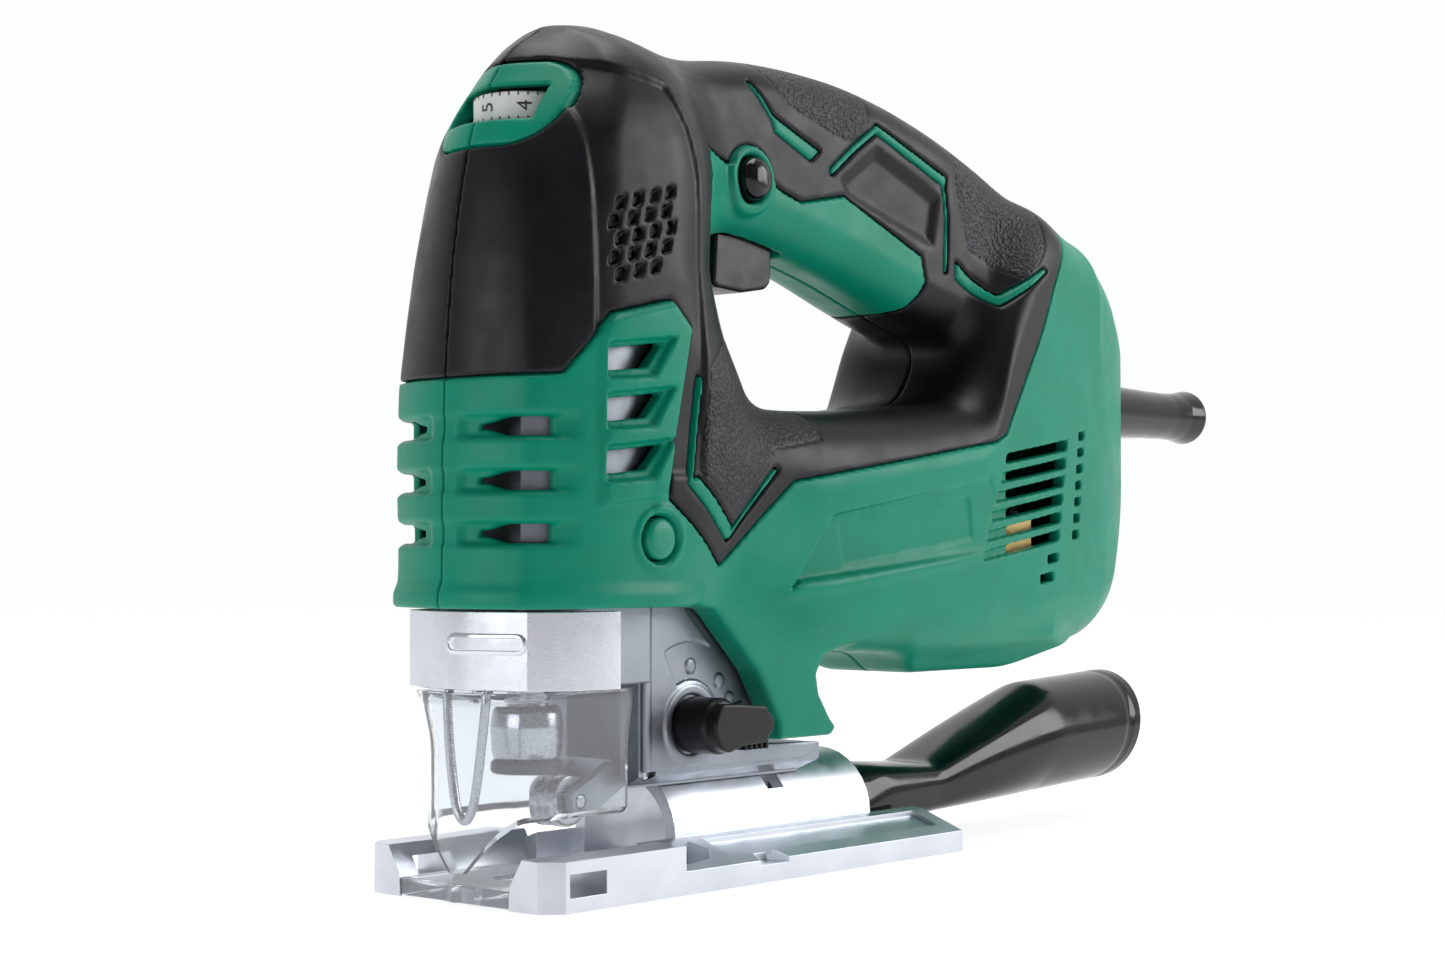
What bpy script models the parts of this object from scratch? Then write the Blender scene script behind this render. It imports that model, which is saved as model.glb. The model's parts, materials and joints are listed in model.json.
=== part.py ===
"""D-handle jigsaw, 279 mm long over its body, as an assembly of separate pieces.

Frame: +X from the blade end towards the cord, +Z up from the sole, -Y is the tool's left.
The origin is on the sole, on the centreline, under the front bridge of the base plate.
Every size below is in millimetres. X is counted from the base plate's front edge, and
ORIGIN_X moves it to the frame when a shape is placed.
"""

from math import cos, pi, radians, sin

import bmesh
import bpy
from mathutils import Vector

MM = 0.001
ORIGIN_X = 66.0
GAP = 0.3  # clearance between neighbouring pieces
FROM_ORIGIN = (ORIGIN_X, 0, 0)  # pivot of a piece that has no joint of its own

# Body shell
WALL = 4.0
SKIN = 2.0
SPLIT = 0.15  # each half stops this far from the middle plane

# Base plate and the bevel axis
BASE_LENGTH = 158.4
BASE_HALF = 32.3
SLOT_HALF = 18.5
TILT_Z = 11.0
BARREL_R = 17.3
BARREL_BORE = 14.0
BARREL_X = (58.0, 136.6)
SADDLE_R = BARREL_R + GAP

# Drive
MOTOR_Z = 86.5
MODULE = 0.9
PINION_TEETH = 9
GEAR_TEETH = 47
GEAR_Z = MOTOR_Z + MODULE * (PINION_TEETH + GEAR_TEETH) / 2
CRANK_R = 13.0  # half of the 26 mm stroke; at rest the plunger is at the bottom of it
BLADE_X = 24.0
PLUNGER_R = 5.0
RUNNING = 0.08  # clearance of a shaft in its bearing, on the radius

FLOOR_Z = 74.3  # underside of the gear case floor, above the clamp shroud

# Lever, controls and cord
LEVER_PIVOT = (30.0, 24.5)
KNOB_X, KNOB_Z = 64.5, 38.8
DIAL_X, DIAL_Z = 23.0, 187.5
LOCK_X, LOCK_Z = 87.5, 177.6
PLUG_X, PLUG_Z = 36.8, 84.8
CORD_Z = 127.0

GREEN = (0.010, 0.330, 0.185)
BLACK = (0.018, 0.018, 0.020)
ALLOY = (0.56, 0.57, 0.59)
STEEL = (0.60, 0.60, 0.61)
CLEAR = (0.85, 0.88, 0.90)
COPPER = (0.60, 0.28, 0.12)
WHITE = (0.78, 0.78, 0.75)


# ---------------------------------------------------------------- shape helpers


def material(name, color, rough, metal=0.0, alpha=1.0):
    made = bpy.data.materials.new(name)
    made.use_nodes = True
    made.diffuse_color = (*color, alpha)
    shader = made.node_tree.nodes["Principled BSDF"]
    shader.inputs["Base Color"].default_value = (*color, 1)
    shader.inputs["Roughness"].default_value = rough
    shader.inputs["Metallic"].default_value = metal
    shader.inputs["Alpha"].default_value = alpha
    return made


def new_object(name, bm, pivot=FROM_ORIGIN):
    """The mesh as an object in metres, with its origin on the pivot."""
    bmesh.ops.remove_doubles(bm, verts=bm.verts, dist=1e-4)
    bmesh.ops.recalc_face_normals(bm, faces=bm.faces)
    shift = Vector(pivot)
    for vert in bm.verts:
        vert.co = (vert.co - shift) * MM
    mesh = bpy.data.meshes.new(name)
    bm.to_mesh(mesh)
    bm.free()
    obj = bpy.data.objects.new(name, mesh)
    obj.location = (shift - Vector((ORIGIN_X, 0, 0))) * MM
    bpy.context.scene.collection.objects.link(obj)
    return obj


def helper(name, bm):
    """A cutter or a form that other pieces are made from: never a piece itself."""
    obj = new_object(name, bm)
    obj.hide_render = True
    obj.display_type = "WIRE"
    return obj


def combine(obj, operation, *others):
    for other in others:
        modifier = obj.modifiers.new(operation.title(), "BOOLEAN")
        modifier.operation = operation
        modifier.object = other
        modifier.solver = "EXACT"
    return obj


def add_loft(bm, rings):
    """A closed skin through rings of equal count, capped at both ends."""
    made = [[bm.verts.new(point) for point in ring] for ring in rings]
    count = len(made[0])
    for a, b in zip(made, made[1:]):
        for i in range(count):
            j = (i + 1) % count
            bm.faces.new((a[i], a[j], b[j], b[i]))
    bm.faces.new(made[0][::-1])
    bm.faces.new(made[-1])
    return bm


def loft(rings):
    return add_loft(bmesh.new(), rings)


def on_axis(axis, u, v, w):
    """A point from its place in the outline (u, v) and along the extrusion (w)."""
    return {"X": (w, u, v), "Y": (u, w, v), "Z": (u, v, w)}[axis]


def prism(axis, outline, low, high, bm=None):
    """Outline is (y, z) along X, (x, z) along Y, or (x, y) along Z."""
    bm = bm or bmesh.new()
    rings = [[on_axis(axis, u, v, w) for u, v in outline] for w in (low, high)]
    return add_loft(bm, rings)


def box(x, y, z, bm=None):
    return prism("Z", [(x[0], y[0]), (x[1], y[0]), (x[1], y[1]), (x[0], y[1])], *z, bm=bm)


def circle(u, v, r, count=16, start=0.0, turn=360.0):
    steps = count if turn == 360.0 else count + 1
    angles = [radians(start + turn * i / count) for i in range(steps)]
    return [(u + r * cos(a), v + r * sin(a)) for a in angles]


def disc(axis, u, v, r, low, high, count=16, bm=None):
    return prism(axis, circle(u, v, r, count), low, high, bm)


def ring_of(axis, u, v, outer, inner, low, high, count=16):
    """A plain tube: a loft that goes up outside, over the rim, and down inside."""
    stations = ((outer, low), (outer, high), (inner, high), (inner, low))
    return tube(axis, u, v, stations, count)


def ring_loop(rings):
    """A closed skin through rings of equal count whose last ring joins the first."""
    bm = bmesh.new()
    made = [[bm.verts.new(point) for point in ring] for ring in rings]
    count = len(made[0])
    for a, b in zip(made, made[1:] + made[:1]):
        for i in range(count):
            j = (i + 1) % count
            bm.faces.new((a[i], a[j], b[j], b[i]))
    return bm


def sleeve_mesh(axis, outer, inner, low, high):
    """A tube between two outlines of equal count."""
    loops = ((outer, low), (outer, high), (inner, high), (inner, low))
    return ring_loop([[on_axis(axis, u, v, w) for u, v in loop] for loop, w in loops])


def tube(axis, u, v, stations, count=16):
    """A closed turned shape from (radius, place along the axis) stations, bore included."""
    return ring_loop([
        [on_axis(axis, a, b, w) for a, b in circle(u, v, r, count)] for r, w in stations
    ])


def turned(axis, u, v, stations, count=16):
    """A closed turned solid with flat ends and no bore."""
    rings = [
        [on_axis(axis, a, b, w) for a, b in circle(u, v, r, count)] for r, w in stations
    ]
    return loft(rings)


def sym(left):
    """A plan outline (x, y) given for the left side, closed by its mirror."""
    return left + [(x, -y) for x, y in reversed(left)]


def fixed(name, bm, look, pivot=FROM_ORIGIN):
    """One finished piece of the tool; a moving one gets its pivot on its joint's axis."""
    obj = new_object(name, bm, pivot)
    obj.data.materials.append(look)
    return obj


# ---------------------------------------------------------------- body forms

# height, front, rear and half width of the nose
NOSE = (
    (69.4, -4.6, 74, 31.5),
    (78, -4.0, 76, 31.5),
    (100, -4.2, 90, 32.5),
    (120.7, -3.4, 91, 33),
    (135, -2.3, 82, 33.3),
    (150, -0.9, 77, 33.3),
    (165, 1.4, 78, 33),
    (176.5, 3.8, 78, 32),
    (183, 5.8, 76, 31),
    (190.3, 9.0, 73, 29),
    (199.5, 14.5, 68, 24),
    (205.5, 20.5, 56, 17),
    (209, 28, 48, 8),
)
# station, bottom, top and half width of the motor barrel and the tail
BARREL = (
    (30, 72, 116, 26),
    (70, 66, 119, 29),
    (100, 57, 118.5, 32),
    (125, 54.8, 119.5, 33),
    (150, 53, 121.5, 33),
    (170, 50, 124, 32.5),
    (178, 49, 133, 32),
    (184, 48.3, 152, 31.5),
    (200, 47, 176, 30.5),
    (212, 47.2, 182.5, 29),
    (225, 47.6, 178.5, 27),
    (245, 52, 174.5, 23.5),
    (257, 59, 168.5, 20),
    (268, 84, 157, 15.5),
    (274.8, 110, 146, 11),
)
HANDLE = (
    (38, 165, 206, 17),
    (60, 163.5, 206, 16.5),
    (90, 163.5, 210.3, 16.5),
    (110, 160, 211, 16.5),
    (130, 155.5, 210, 17.5),
    (150, 149.5, 206.5, 18.5),
    (170, 144, 201, 19.5),
    (190, 140, 193.5, 20.5),
    (210, 136, 184.5, 21),
    (232, 136, 172, 19),
)


def nose_ring(z, front, rear, half, inset):
    front, rear, half = front + inset, rear - inset, half - inset
    lean = min(1.0, max(0.0, (z - 120.0) / 60.0))  # the front face narrows towards the top
    left = [
        (front, 0.0),
        (front + 0.20 * half, -(0.72 - 0.16 * lean) * half),
        (front + (0.60 - 0.12 * lean) * half, -0.93 * half),
        (front + (0.95 - 0.18 * lean) * half, -half),
        (rear - 0.78 * half, -half),
        (rear - 0.25 * half, -0.62 * half),
        (rear, -0.22 * half),
    ]
    right = [(x, -y) for x, y in reversed(left[1:])]
    return [(x, y, z) for x, y in left + right]


def section(x, low, high, half, inset, corner):
    """A rounded box section of the barrel or the handle, twelve points."""
    low, high, half = low + inset, high - inset, half - inset
    rise = min(corner, (high - low) / 2.4)
    cut = min(0.55 * half, rise)
    left = [
        (-(half - cut), low),
        (-(half - 0.25 * cut), low + 0.35 * rise),
        (-half, low + rise),
        (-half, high - rise),
        (-(half - 0.25 * cut), high - 0.35 * rise),
        (-(half - cut), high),
    ]
    right = [(-y, z) for y, z in reversed(left)]
    return [(x, y, z) for y, z in left + right]


def nose_form(inset):
    low_z, top_z = NOSE[0][0], NOSE[-1][0]
    rings = []
    for z, front, rear, half in NOSE:
        # The roof comes down by the inset, and the skirt stays open at the bottom.
        share = max(0.0, (z - 165.0) / (top_z - 165.0))
        drop = -8.0 if z == low_z and inset > 3 else share * inset
        rings.append(nose_ring(z - abs(drop), front, rear, half, inset))
    form = loft(rings)
    # The same diagonals at every inset keep the rubber and the shell apart.
    bmesh.ops.triangulate(form, faces=form.faces[:], quad_method="FIXED")
    return form


def run_form(stations, inset, corner):
    last = stations[-1][0]
    rings = []
    for x, low, high, half in stations:
        back = inset if x == last else 0.0
        rings.append(section(x - back, low, high, half, inset, corner))
    return loft(rings)


def body_form(name, inset):
    """The whole outside of the body, moved inwards by the inset."""
    obj = helper(name, nose_form(inset))
    barrel = helper(name + "_barrel", run_form(BARREL, inset, 17.0))
    handle = helper(name + "_handle", run_form(HANDLE, inset, 12.0))
    return combine(obj, "UNION", barrel, handle)


# The rubber covers the nose, the handle, the saddle and the back of the grip.
RUBBER_AREA = (
    (-30, 120.7), (9.6, 122.8), (19.5, 134.3), (21.8, 137.3), (39.8, 141.6), (46.6, 135.5),
    (40.3, 107.7), (39.4, 94.4), (61.6, 78.3), (88.1, 99.5), (175.8, 112.4), (181.4, 114.8),
    (202.3, 145.8), (210, 160), (223, 181), (223, 230), (-30, 230),
)
# A green panel stays bare round the lower half of the handle, below the lock button.
BARE_PANEL = (
    (66, 158), (68, 182.6), (80.2, 179.8), (85, 178.5), (93, 179.0), (100.4, 175.6),
    (108.5, 173.5), (126, 177), (158.3, 163.8), (160, 157), (157, 150), (148, 143),
    (140, 138), (100, 155),
)
BEZEL = (0.0, 188.5, 21.0, 12.5)  # middle (y, z) and half sizes of the bare dial bezel


def oval(half_y, half_z, count=16):
    middle_y, middle_z = BEZEL[:2]
    angles = [2 * pi * i / count for i in range(count)]
    return [(middle_y + half_y * cos(a), middle_z + half_z * sin(a)) for a in angles]


def grown(outline, amount):
    """The outline with every edge moved outwards by the amount."""
    count = len(outline)
    area = sum(
        outline[i][0] * outline[(i + 1) % count][1] - outline[(i + 1) % count][0] * outline[i][1]
        for i in range(count)
    )
    way = amount if area > 0 else -amount
    moved = []
    for i, (x, z) in enumerate(outline):
        before = (Vector((x, z)) - Vector(outline[i - 1])).normalized()
        after = (Vector(outline[(i + 1) % count]) - Vector((x, z))).normalized()
        normal = Vector((before.y + after.y, -before.x - after.x)).normalized()
        reach = way / max(0.3, normal.dot(Vector((after.y, -after.x))))
        moved.append((x + normal.x * reach, z + normal.y * reach))
    return moved


def louvre_cutters():
    """Slots through the left and right walls: front, side and tail."""
    bm = bmesh.new()
    for z in (83.7, 95.9, 108.4):
        box((-12, 9), (-25, -9), (z, z + 4.4), bm)
        box((-12, 9), (9, 25), (z, z + 4.4), bm)
    for side in (-1, 1):
        outer, inner = side * 40, side * 18
        span = (min(outer, inner), max(outer, inner))
        for z in (99.7, 112.0, 123.8):
            slot = [(20.5, z), (32.2, z + 1.3), (37.6, z + 7.4), (20.5, z + 5.2)]
            prism("Y", slot, *span, bm=bm)
        for row in range(6):
            left, right, z = 183.4, 217.6 - 1.15 * row, 107.0 - 5.15 * row
            slot = [(left, z), (right, z + 4.4), (right, z + 7.4), (left, z + 2.8)]
            prism("Y", slot, *span, bm=bm)
    return helper("louvre_cutters", bm)


def shell_cutters():
    """Openings for the trigger, the lock button, the dial and the cord guard."""
    bm = box((80.5, 109.5), (-8.4, 8.4), (142, 176))
    disc("Y", LOCK_X, LOCK_Z, 6.1, -30, -9, 14, bm)
    box((-15, 26), (-13.5, 13.5), (183.0, 192.2), bm)
    disc("X", 0, CORD_Z, 9.4, 262, 285, 16, bm)
    disc("Y", PLUG_X, PLUG_Z, 5.3, -40, -20, 14, bm)
    return helper("shell_cutters", bm)


def half_space(side):
    """Everything on one side of the split between the shell halves."""
    y = (SPLIT, 60) if side > 0 else (-60, -SPLIT)
    return box((-40, 320), y, (20, 240))


def strut(side):
    """The diagonal leg of the shell that reaches down to the gear case foot."""
    outline = [
        (56, 74), (60, 68.4), (64, 68), (81, 51.7), (90, 38), (90, 33.6), (112, 33.6),
        (113.5, 36.5), (110, 38.5), (105.5, 45), (104.5, 50), (106, 54), (118, 62), (118, 74),
    ]
    y = (SPLIT, 24.5) if side > 0 else (-24.5, -SPLIT)
    return prism("Y", outline, *y)


def make_shells(looks):
    outer = body_form("form_outer", 0.0)
    recess = body_form("form_recess", SKIN + GAP)
    under_skin = body_form("form_under_skin", SKIN)
    cavity = body_form("form_cavity", WALL)
    area = helper("rubber_area", prism("Y", RUBBER_AREA, -50, 50))
    panel = helper("bare_panel", prism("Y", BARE_PANEL, -50, 50))
    bezel = helper("bezel_oval", prism("X", oval(*BEZEL[2:]), -30, 26))
    wide = prism("Y", grown(BARE_PANEL, GAP), -50, 50)
    prism("X", oval(BEZEL[2] + GAP, BEZEL[3] + GAP), -30, 28, wide)
    bare = helper("bare_areas", wide)
    louvres, openings = louvre_cutters(), shell_cutters()
    area_out = helper("rubber_area_out", prism("Y", grown(RUBBER_AREA, GAP), -52, 52))
    combine(area_out, "DIFFERENCE", recess, panel, bezel)
    leg_room = helper("leg_room", box((30, 93), (-16.8, 16.8), (20, 75)))
    foot_room = helper("foot_room", box((80, 130), (-16.8, 16.8), (20, 47)))
    for side, word in ((-1, "left"), (1, "right")):
        shell = fixed("housing_" + word, half_space(side), looks["green"])
        leg = helper("strut_" + word, strut(side))
        combine(shell, "INTERSECT", outer)
        combine(shell, "DIFFERENCE", area_out)
        combine(shell, "UNION", leg)
        combine(shell, "DIFFERENCE", cavity, leg_room, foot_room, louvres, openings)
        grip = fixed("grip_" + word, half_space(side), looks["rubber"])
        combine(grip, "INTERSECT", outer, area)
        combine(grip, "DIFFERENCE", under_skin, bare, openings)


# ---------------------------------------------------------------- base and front


def make_base(looks):
    rear, front = bmesh.new(), bmesh.new()
    wing = [(17.0, 0), (BASE_HALF, 0), (BASE_HALF, 5.65), (17.0, 11.4)]
    prong = [(SLOT_HALF, 0), (BASE_HALF, 0), (BASE_HALF, 11.7), (22.7, 11.9), (18.7, 5.3)]
    for side in (-1, 1):
        prism("X", [(side * y, z) for y, z in wing], 44, BASE_LENGTH, rear)
        prism("X", [(side * y, z) for y, z in prong], 0, 45.4, front)
    base = fixed("base_plate", box((58, 76), (-18, 18), (0, 4.5)), looks["alloy"])
    wings, prongs = helper("base_wings", rear), helper("base_prongs", front)
    arch = circle(0, TILT_Z, BARREL_R, 16, 0, 180) + [(-BARREL_R, 0.5), (BARREL_R, 0.5)]
    bore = circle(0, TILT_Z, BARREL_BORE, 16, 0, 180) + [(-BARREL_BORE, -3), (BARREL_BORE, -3)]
    barrel = helper("barrel", prism("X", arch, *BARREL_X))
    tunnel = helper("tunnel", prism("X", bore, 76, 170))
    mouth = helper("barrel_mouth", prism("X", [(y, max(z, 4.5)) for y, z in bore], 40, 77))
    reach = 22.0
    slot = [(0, TILT_Z)] + [
        (reach * sin(radians(a)), TILT_Z + reach * cos(radians(a))) for a in (-57, -30, 0, 30, 57)
    ]
    arc_slot = helper("clamp_slot", prism("X", slot, 96.8, 103.2))
    cuts = box((6, 18), (-40, 40), (3.4, 8.8))
    for y in (-1, 1):
        corner = [(-1, y * BASE_HALF), (-1, y * 40), (4.6, y * 40), (4.6, y * BASE_HALF),
                  (0, y * 27.7), (-1, y * 27.7)]
        prism("Z", corner, -1, 20, cuts)
        notch = [(150, y * 14), (170, y * 24), (170, y * -1)]
        prism("Z", notch, -1, 20, cuts)
    trims = helper("base_trims", cuts)
    combine(base, "UNION", wings, prongs, barrel)
    combine(base, "DIFFERENCE", tunnel, mouth, arc_slot, trims)
    insert = [(0.3, 18.2), (0.3, 3), (-0.6, 0), (0.3, -3), (0.3, -18.2), (34, -18.2), (34, -1.2),
              (14, -1.2), (14, 1.2), (34, 1.2), (34, 18.2)]
    fixed("splinter_insert", prism("Z", insert, 0.2, 4.6), looks["clear"])
    fixed("base_clamp_shoe", shoe(), looks["steel"])
    bolt = turned("Z", 100, 0, ((4, 14.4), (4, 18.7), (2.5, 18.7001), (2.5, 43)), 12)
    fixed("base_clamp_bolt", bolt, looks["steel"])


def shoe():
    """The flat block under the gear case that the base clamp bolt goes through."""
    outer = [(92, 0), (92, -5), (100, -5), (108, -5), (108, 0), (108, 5), (100, 5), (92, 5)]
    return sleeve_mesh("Z", outer, circle(100, 0, 2.9, 8, 180), 19.0, 23.2)


COVER_HALF = 15.2


def make_front(looks):
    # Clear chip cover: a folded sheet, open at the back, its lower edge cut back for the bevel.
    outer = [(0.4, 0), (2.4, -13.2), (4.6, -COVER_HALF), (43, -COVER_HALF)]
    inner = [(43, -COVER_HALF + 1.5), (5.4, -COVER_HALF + 1.5), (3.7, -12.2), (1.9, 0)]
    outline = outer + inner + [(x, -y) for x, y in reversed(inner[:-1])]
    outline += [(x, -y) for x, y in reversed(outer[1:])]
    cover = fixed("chip_cover", prism("Z", outline, 4.0, 48.9), looks["clear"])
    under = [(-30, 35.5), (-2.3, 6.8), (2.3, 6.8), (30, 35.5), (30, -5), (-30, -5)]
    combine(cover, "DIFFERENCE", helper("bevel_room", prism("X", under, -10, 60)))

    # Steel wire in front of the blade.
    points = [(8.6, -6.7, 55.5), (5.2, -6.7, 54), (4.5, -6.3, 46), (4.2, -1.8, 20.2), (4.2, 0, 18.7)]
    path = points + [(x, -y, z) for x, y, z in reversed(points[:-1])]
    fixed("wire_guard", wire(path, 1.1, 6), looks["steel"])

    # Swing lever that opens the blade clamp: a strip round the nose.
    strip = [(33, 26.6), (26, 27.2), (14, 25.2), (4.3, 20.2), (-0.6, 6), (-0.6, -6), (4.3, -20.2),
             (13, -26.4), (27, -28.2), (27, -26.2), (14, -24.4), (5.7, -18.8), (1.4, -5.6),
             (1.4, 5.6), (5.7, 18.8), (14.4, 23.1), (22, 24.6), (26, 22.2), (33, 22.6)]
    lever = fixed("blade_lever", prism("Z", strip, 49.6, 67.9), looks["satin"], (*LEVER_PIVOT, 0))
    hole = helper("lever_hole", disc("Z", *LEVER_PIVOT, 1.58, 40, 80, 10))
    combine(lever, "DIFFERENCE", hole)
    fixed("lever_pin", disc("Z", *LEVER_PIVOT, 1.45, 47.5, 74, 10), looks["steel"])


def wire(path, r, sides):
    """A round bar along a polyline."""
    rings = []
    up = Vector((1, 0, 0.001))
    points = [Vector(p) for p in path]
    for i, point in enumerate(points):
        along = (points[min(i + 1, len(points) - 1)] - points[max(i - 1, 0)]).normalized()
        side = along.cross(up).normalized()
        other = along.cross(side).normalized()
        rings.append([
            tuple(point + r * (cos(2 * pi * k / sides) * side + sin(2 * pi * k / sides) * other))
            for k in range(sides)
        ])
    return loft(rings)


# ---------------------------------------------------------------- gear case


def make_gear_case(looks):
    block = sym([(8, -14), (14, -21), (24, -26.5), (52, -26.5), (66, -18.5)])
    foot = sym([(8.3, -13), (14.2, -20), (24, -24.5), (40, -24.5), (58, -15.8), (65.5, -11.5)])
    case = fixed("gear_case", prism("Z", block, 84, 140), looks["cast"])
    room = sym([(12, -12), (17, -18.5), (26, -23.2), (51, -23.2), (62.5, -16.8)])
    skirt = sym([(9, -12), (14, -18.5), (20, -20.5), (45.6, -20.5)])
    under = sym([(12, -10.5), (16.5, -16), (22, -18), (43, -18)])
    floor = helper("case_floor", prism("Z", foot, FLOOR_Z, 85))
    leg_side = [(46, 76), (46, 24), (110.6, 23.4), (116, 27.5), (116, 31.5), (97, 33), (90, 46),
                (76, 69), (64, 76)]
    leg_front = [(-16, 77), (-16, 26.9), (-12.0, 24.5)]
    leg_front += [(x, z) for x, z in circle(0, TILT_Z, SADDLE_R, 8, 133, -86)]
    leg_front += [(12.0, 24.5), (16, 26.9), (16, 77)]
    leg = helper("case_leg", prism("Y", leg_side, -30, 30))
    combine(leg, "INTERSECT", helper("case_leg_section", prism("X", leg_front, 40, 120)))
    top = sym([(9, -13), (14.5, -19), (24, -24.5), (38, -24.5)])
    bridge = helper("case_bridge", prism("Z", top, 139, 148))
    seat = helper("case_seat", disc("X", 0, MOTOR_Z, 14, 65, 79, 16))
    combine(case, "UNION", floor, leg, seat)
    combine(case, "DIFFERENCE", helper("case_room", prism("Z", room, 80.9, 141)))
    combine(case, "UNION", bridge)
    cuts = {
        "bearing_seat": disc("X", 0, MOTOR_Z, 11.4, 67.5, 90, 16),
        "shaft_hole": disc("X", 0, MOTOR_Z, 6.0, 55, 68, 12),
        "gear_shaft_hole": disc("X", 0, GEAR_Z, 3.3, 55, 80, 12),
        "lower_bush_hole": disc("Z", BLADE_X, 0, 7.3, 70, 84, 16),
        "upper_bush_hole": disc("Z", BLADE_X, 0, 7.3, 130, 150, 16),
        "lever_pin_hole": disc("Z", *LEVER_PIVOT, 1.8, 60, 78, 10),
        "clamp_bolt_hole": disc("Z", 100, 0, 2.9, 20, 44, 10),
        "arm_room": box((40, 58.5), (-9.2, 9.2), (15, 50)),
        "arm_pin_hole": disc("Y", 50, 28, 2.3, -17, 17, 12),
        "cam_hole": disc("Y", KNOB_X, KNOB_Z, 4.4, -17, -3, 14),
    }
    combine(case, "DIFFERENCE", *[helper(name, bm) for name, bm in cuts.items()])
    shroud = fixed("clamp_shroud", prism("Z", skirt, 50, FLOOR_Z - GAP), looks["cast"])
    combine(shroud, "DIFFERENCE", helper("shroud_room", prism("Z", under, 40, 80)))
    for word, z in (("lower", FLOOR_Z + 0.3), ("upper", 139.5)):
        bush = ring_of("Z", BLADE_X, 0, 7.0, (PLUNGER_R + RUNNING) / cos(pi / 16), z, z + 8.4)
        fixed("plunger_bushing_" + word, bush, looks["bronze"])
    fixed("gear_shaft", disc("X", 0, GEAR_Z, 3.0, 45, 69, 12), looks["steel"])
    fixed("roller_arm_pin", disc("Y", 50, 28, 2.0, -14.5, 14.5, 12), looks["steel"])


def toothed(teeth, low_r, high_r):
    """A gear outline with straight-sided teeth, thinner than half the pitch for backlash."""
    points = []
    step = 2 * pi / teeth
    root, tip = 0.26 * step, 0.115 * step
    for i in range(teeth):
        middle = i * step
        for angle, r in ((-root, low_r), (-tip, high_r), (tip, high_r), (root, low_r)):
            points.append((middle + angle, r))
    return points


def gear_mesh(axis_z, teeth, low, high, phase):
    pitch_r = MODULE * teeth / 2
    outline = toothed(teeth, pitch_r - 1.15 * MODULE, pitch_r + 0.75 * MODULE)
    flat = [(r * sin(a + phase), axis_z + r * cos(a + phase)) for a, r in outline]
    return prism("X", flat, low, high)


def make_drive(looks):
    axis = (ORIGIN_X, 0, GEAR_Z)
    # A gear tooth points straight down at rest, into a gap of the pinion.
    gear = gear_mesh(GEAR_Z, GEAR_TEETH, 46, 52, pi)
    gear = fixed("drive_gear", gear, looks["steel"], axis)
    bore = helper("gear_bore", disc("X", 0, GEAR_Z, (3.0 + RUNNING) / cos(pi / 12), 40, 56, 12))
    combine(gear, "DIFFERENCE", bore)
    fixed("crank_pin", disc("X", 0, GEAR_Z - CRANK_R, 3.0, 40.4, 45.7, 12), looks["steel"], axis)

    motor = (ORIGIN_X, 0, MOTOR_Z)
    shaft = turned("X", 0, MOTOR_Z, ((4, 54.4), (4, 228)), 12)
    shaft = fixed("armature_shaft", shaft, looks["steel"], motor)
    pinion = gear_mesh(MOTOR_Z, PINION_TEETH, 44, 55, pi / PINION_TEETH)
    combine(shaft, "UNION", helper("pinion", pinion))
    clear = 4.3
    core = ring_of("X", 0, MOTOR_Z, 17.5, clear, 123, 177, 20)
    fixed("armature_core", core, looks["dark_steel"], motor)
    fixed("commutator", ring_of("X", 0, MOTOR_Z, 11, clear, 190, 208, 16), looks["copper"], motor)
    make_fan(looks, motor)
    fixed("stator", stator(), looks["dark_steel"])
    fixed("fan_baffle", ring_of("X", 0, MOTOR_Z, 26.0, 19, 114, 116.5, 16), looks["gray"])
    fixed("bearing_front", ring_of("X", 0, MOTOR_Z, 11, clear, 69, 77, 16), looks["steel"])
    fixed("bearing_rear", ring_of("X", 0, MOTOR_Z, 9.5, clear, 217, 225, 16), looks["steel"])
    for side, word in ((-1, "left"), (1, "right")):
        y = sorted((side * 11.4, side * 19.5))
        fixed("brush_" + word, box((196, 202), y, (80, 88)), looks["carbon"])
        y = sorted((side * 13.0, side * 23.5))
        holder = fixed("brush_holder_" + word, box((192.5, 205.5), y, (76.5, 91.5)), looks["brass"])
        y = sorted((side * 12.0, side * 20.5))
        combine(holder, "DIFFERENCE", helper("brush_room_" + word, box((195.6, 202.4), y, (79.6, 88.4))))


def make_fan(looks, pivot):
    """A hub disc with straight blades on its front face."""
    hub = ((24, 109), (24, 111), (4.3, 111), (4.3, 99), (9, 99), (9, 109))
    wheel = fixed("fan", tube("X", 0, MOTOR_Z, hub, 20), looks["gray"], pivot)
    blades = bmesh.new()
    for i in range(10):
        angle = 2 * pi * (i + 0.5) / 10
        along, across = (cos(angle), sin(angle)), (-sin(angle) * 0.6, cos(angle) * 0.6)
        outline = []
        for r, s in ((8, -1), (23.3, -1), (23.3, 1), (8, 1)):
            outline.append((r * along[0] + s * across[0], MOTOR_Z + r * along[1] + s * across[1]))
        prism("X", outline, 100, 109.5, blades)
    combine(wheel, "UNION", helper("fan_blades", blades))


def stator():
    """A laminated ring with two flats, open at both ends."""
    outer = [(max(-24.5, min(24.5, y)), z) for y, z in circle(0, MOTOR_Z, 27, 20, 9)]
    return sleeve_mesh("X", outer, circle(0, MOTOR_Z, 18.6, 20, 9), 125, 175)


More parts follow.
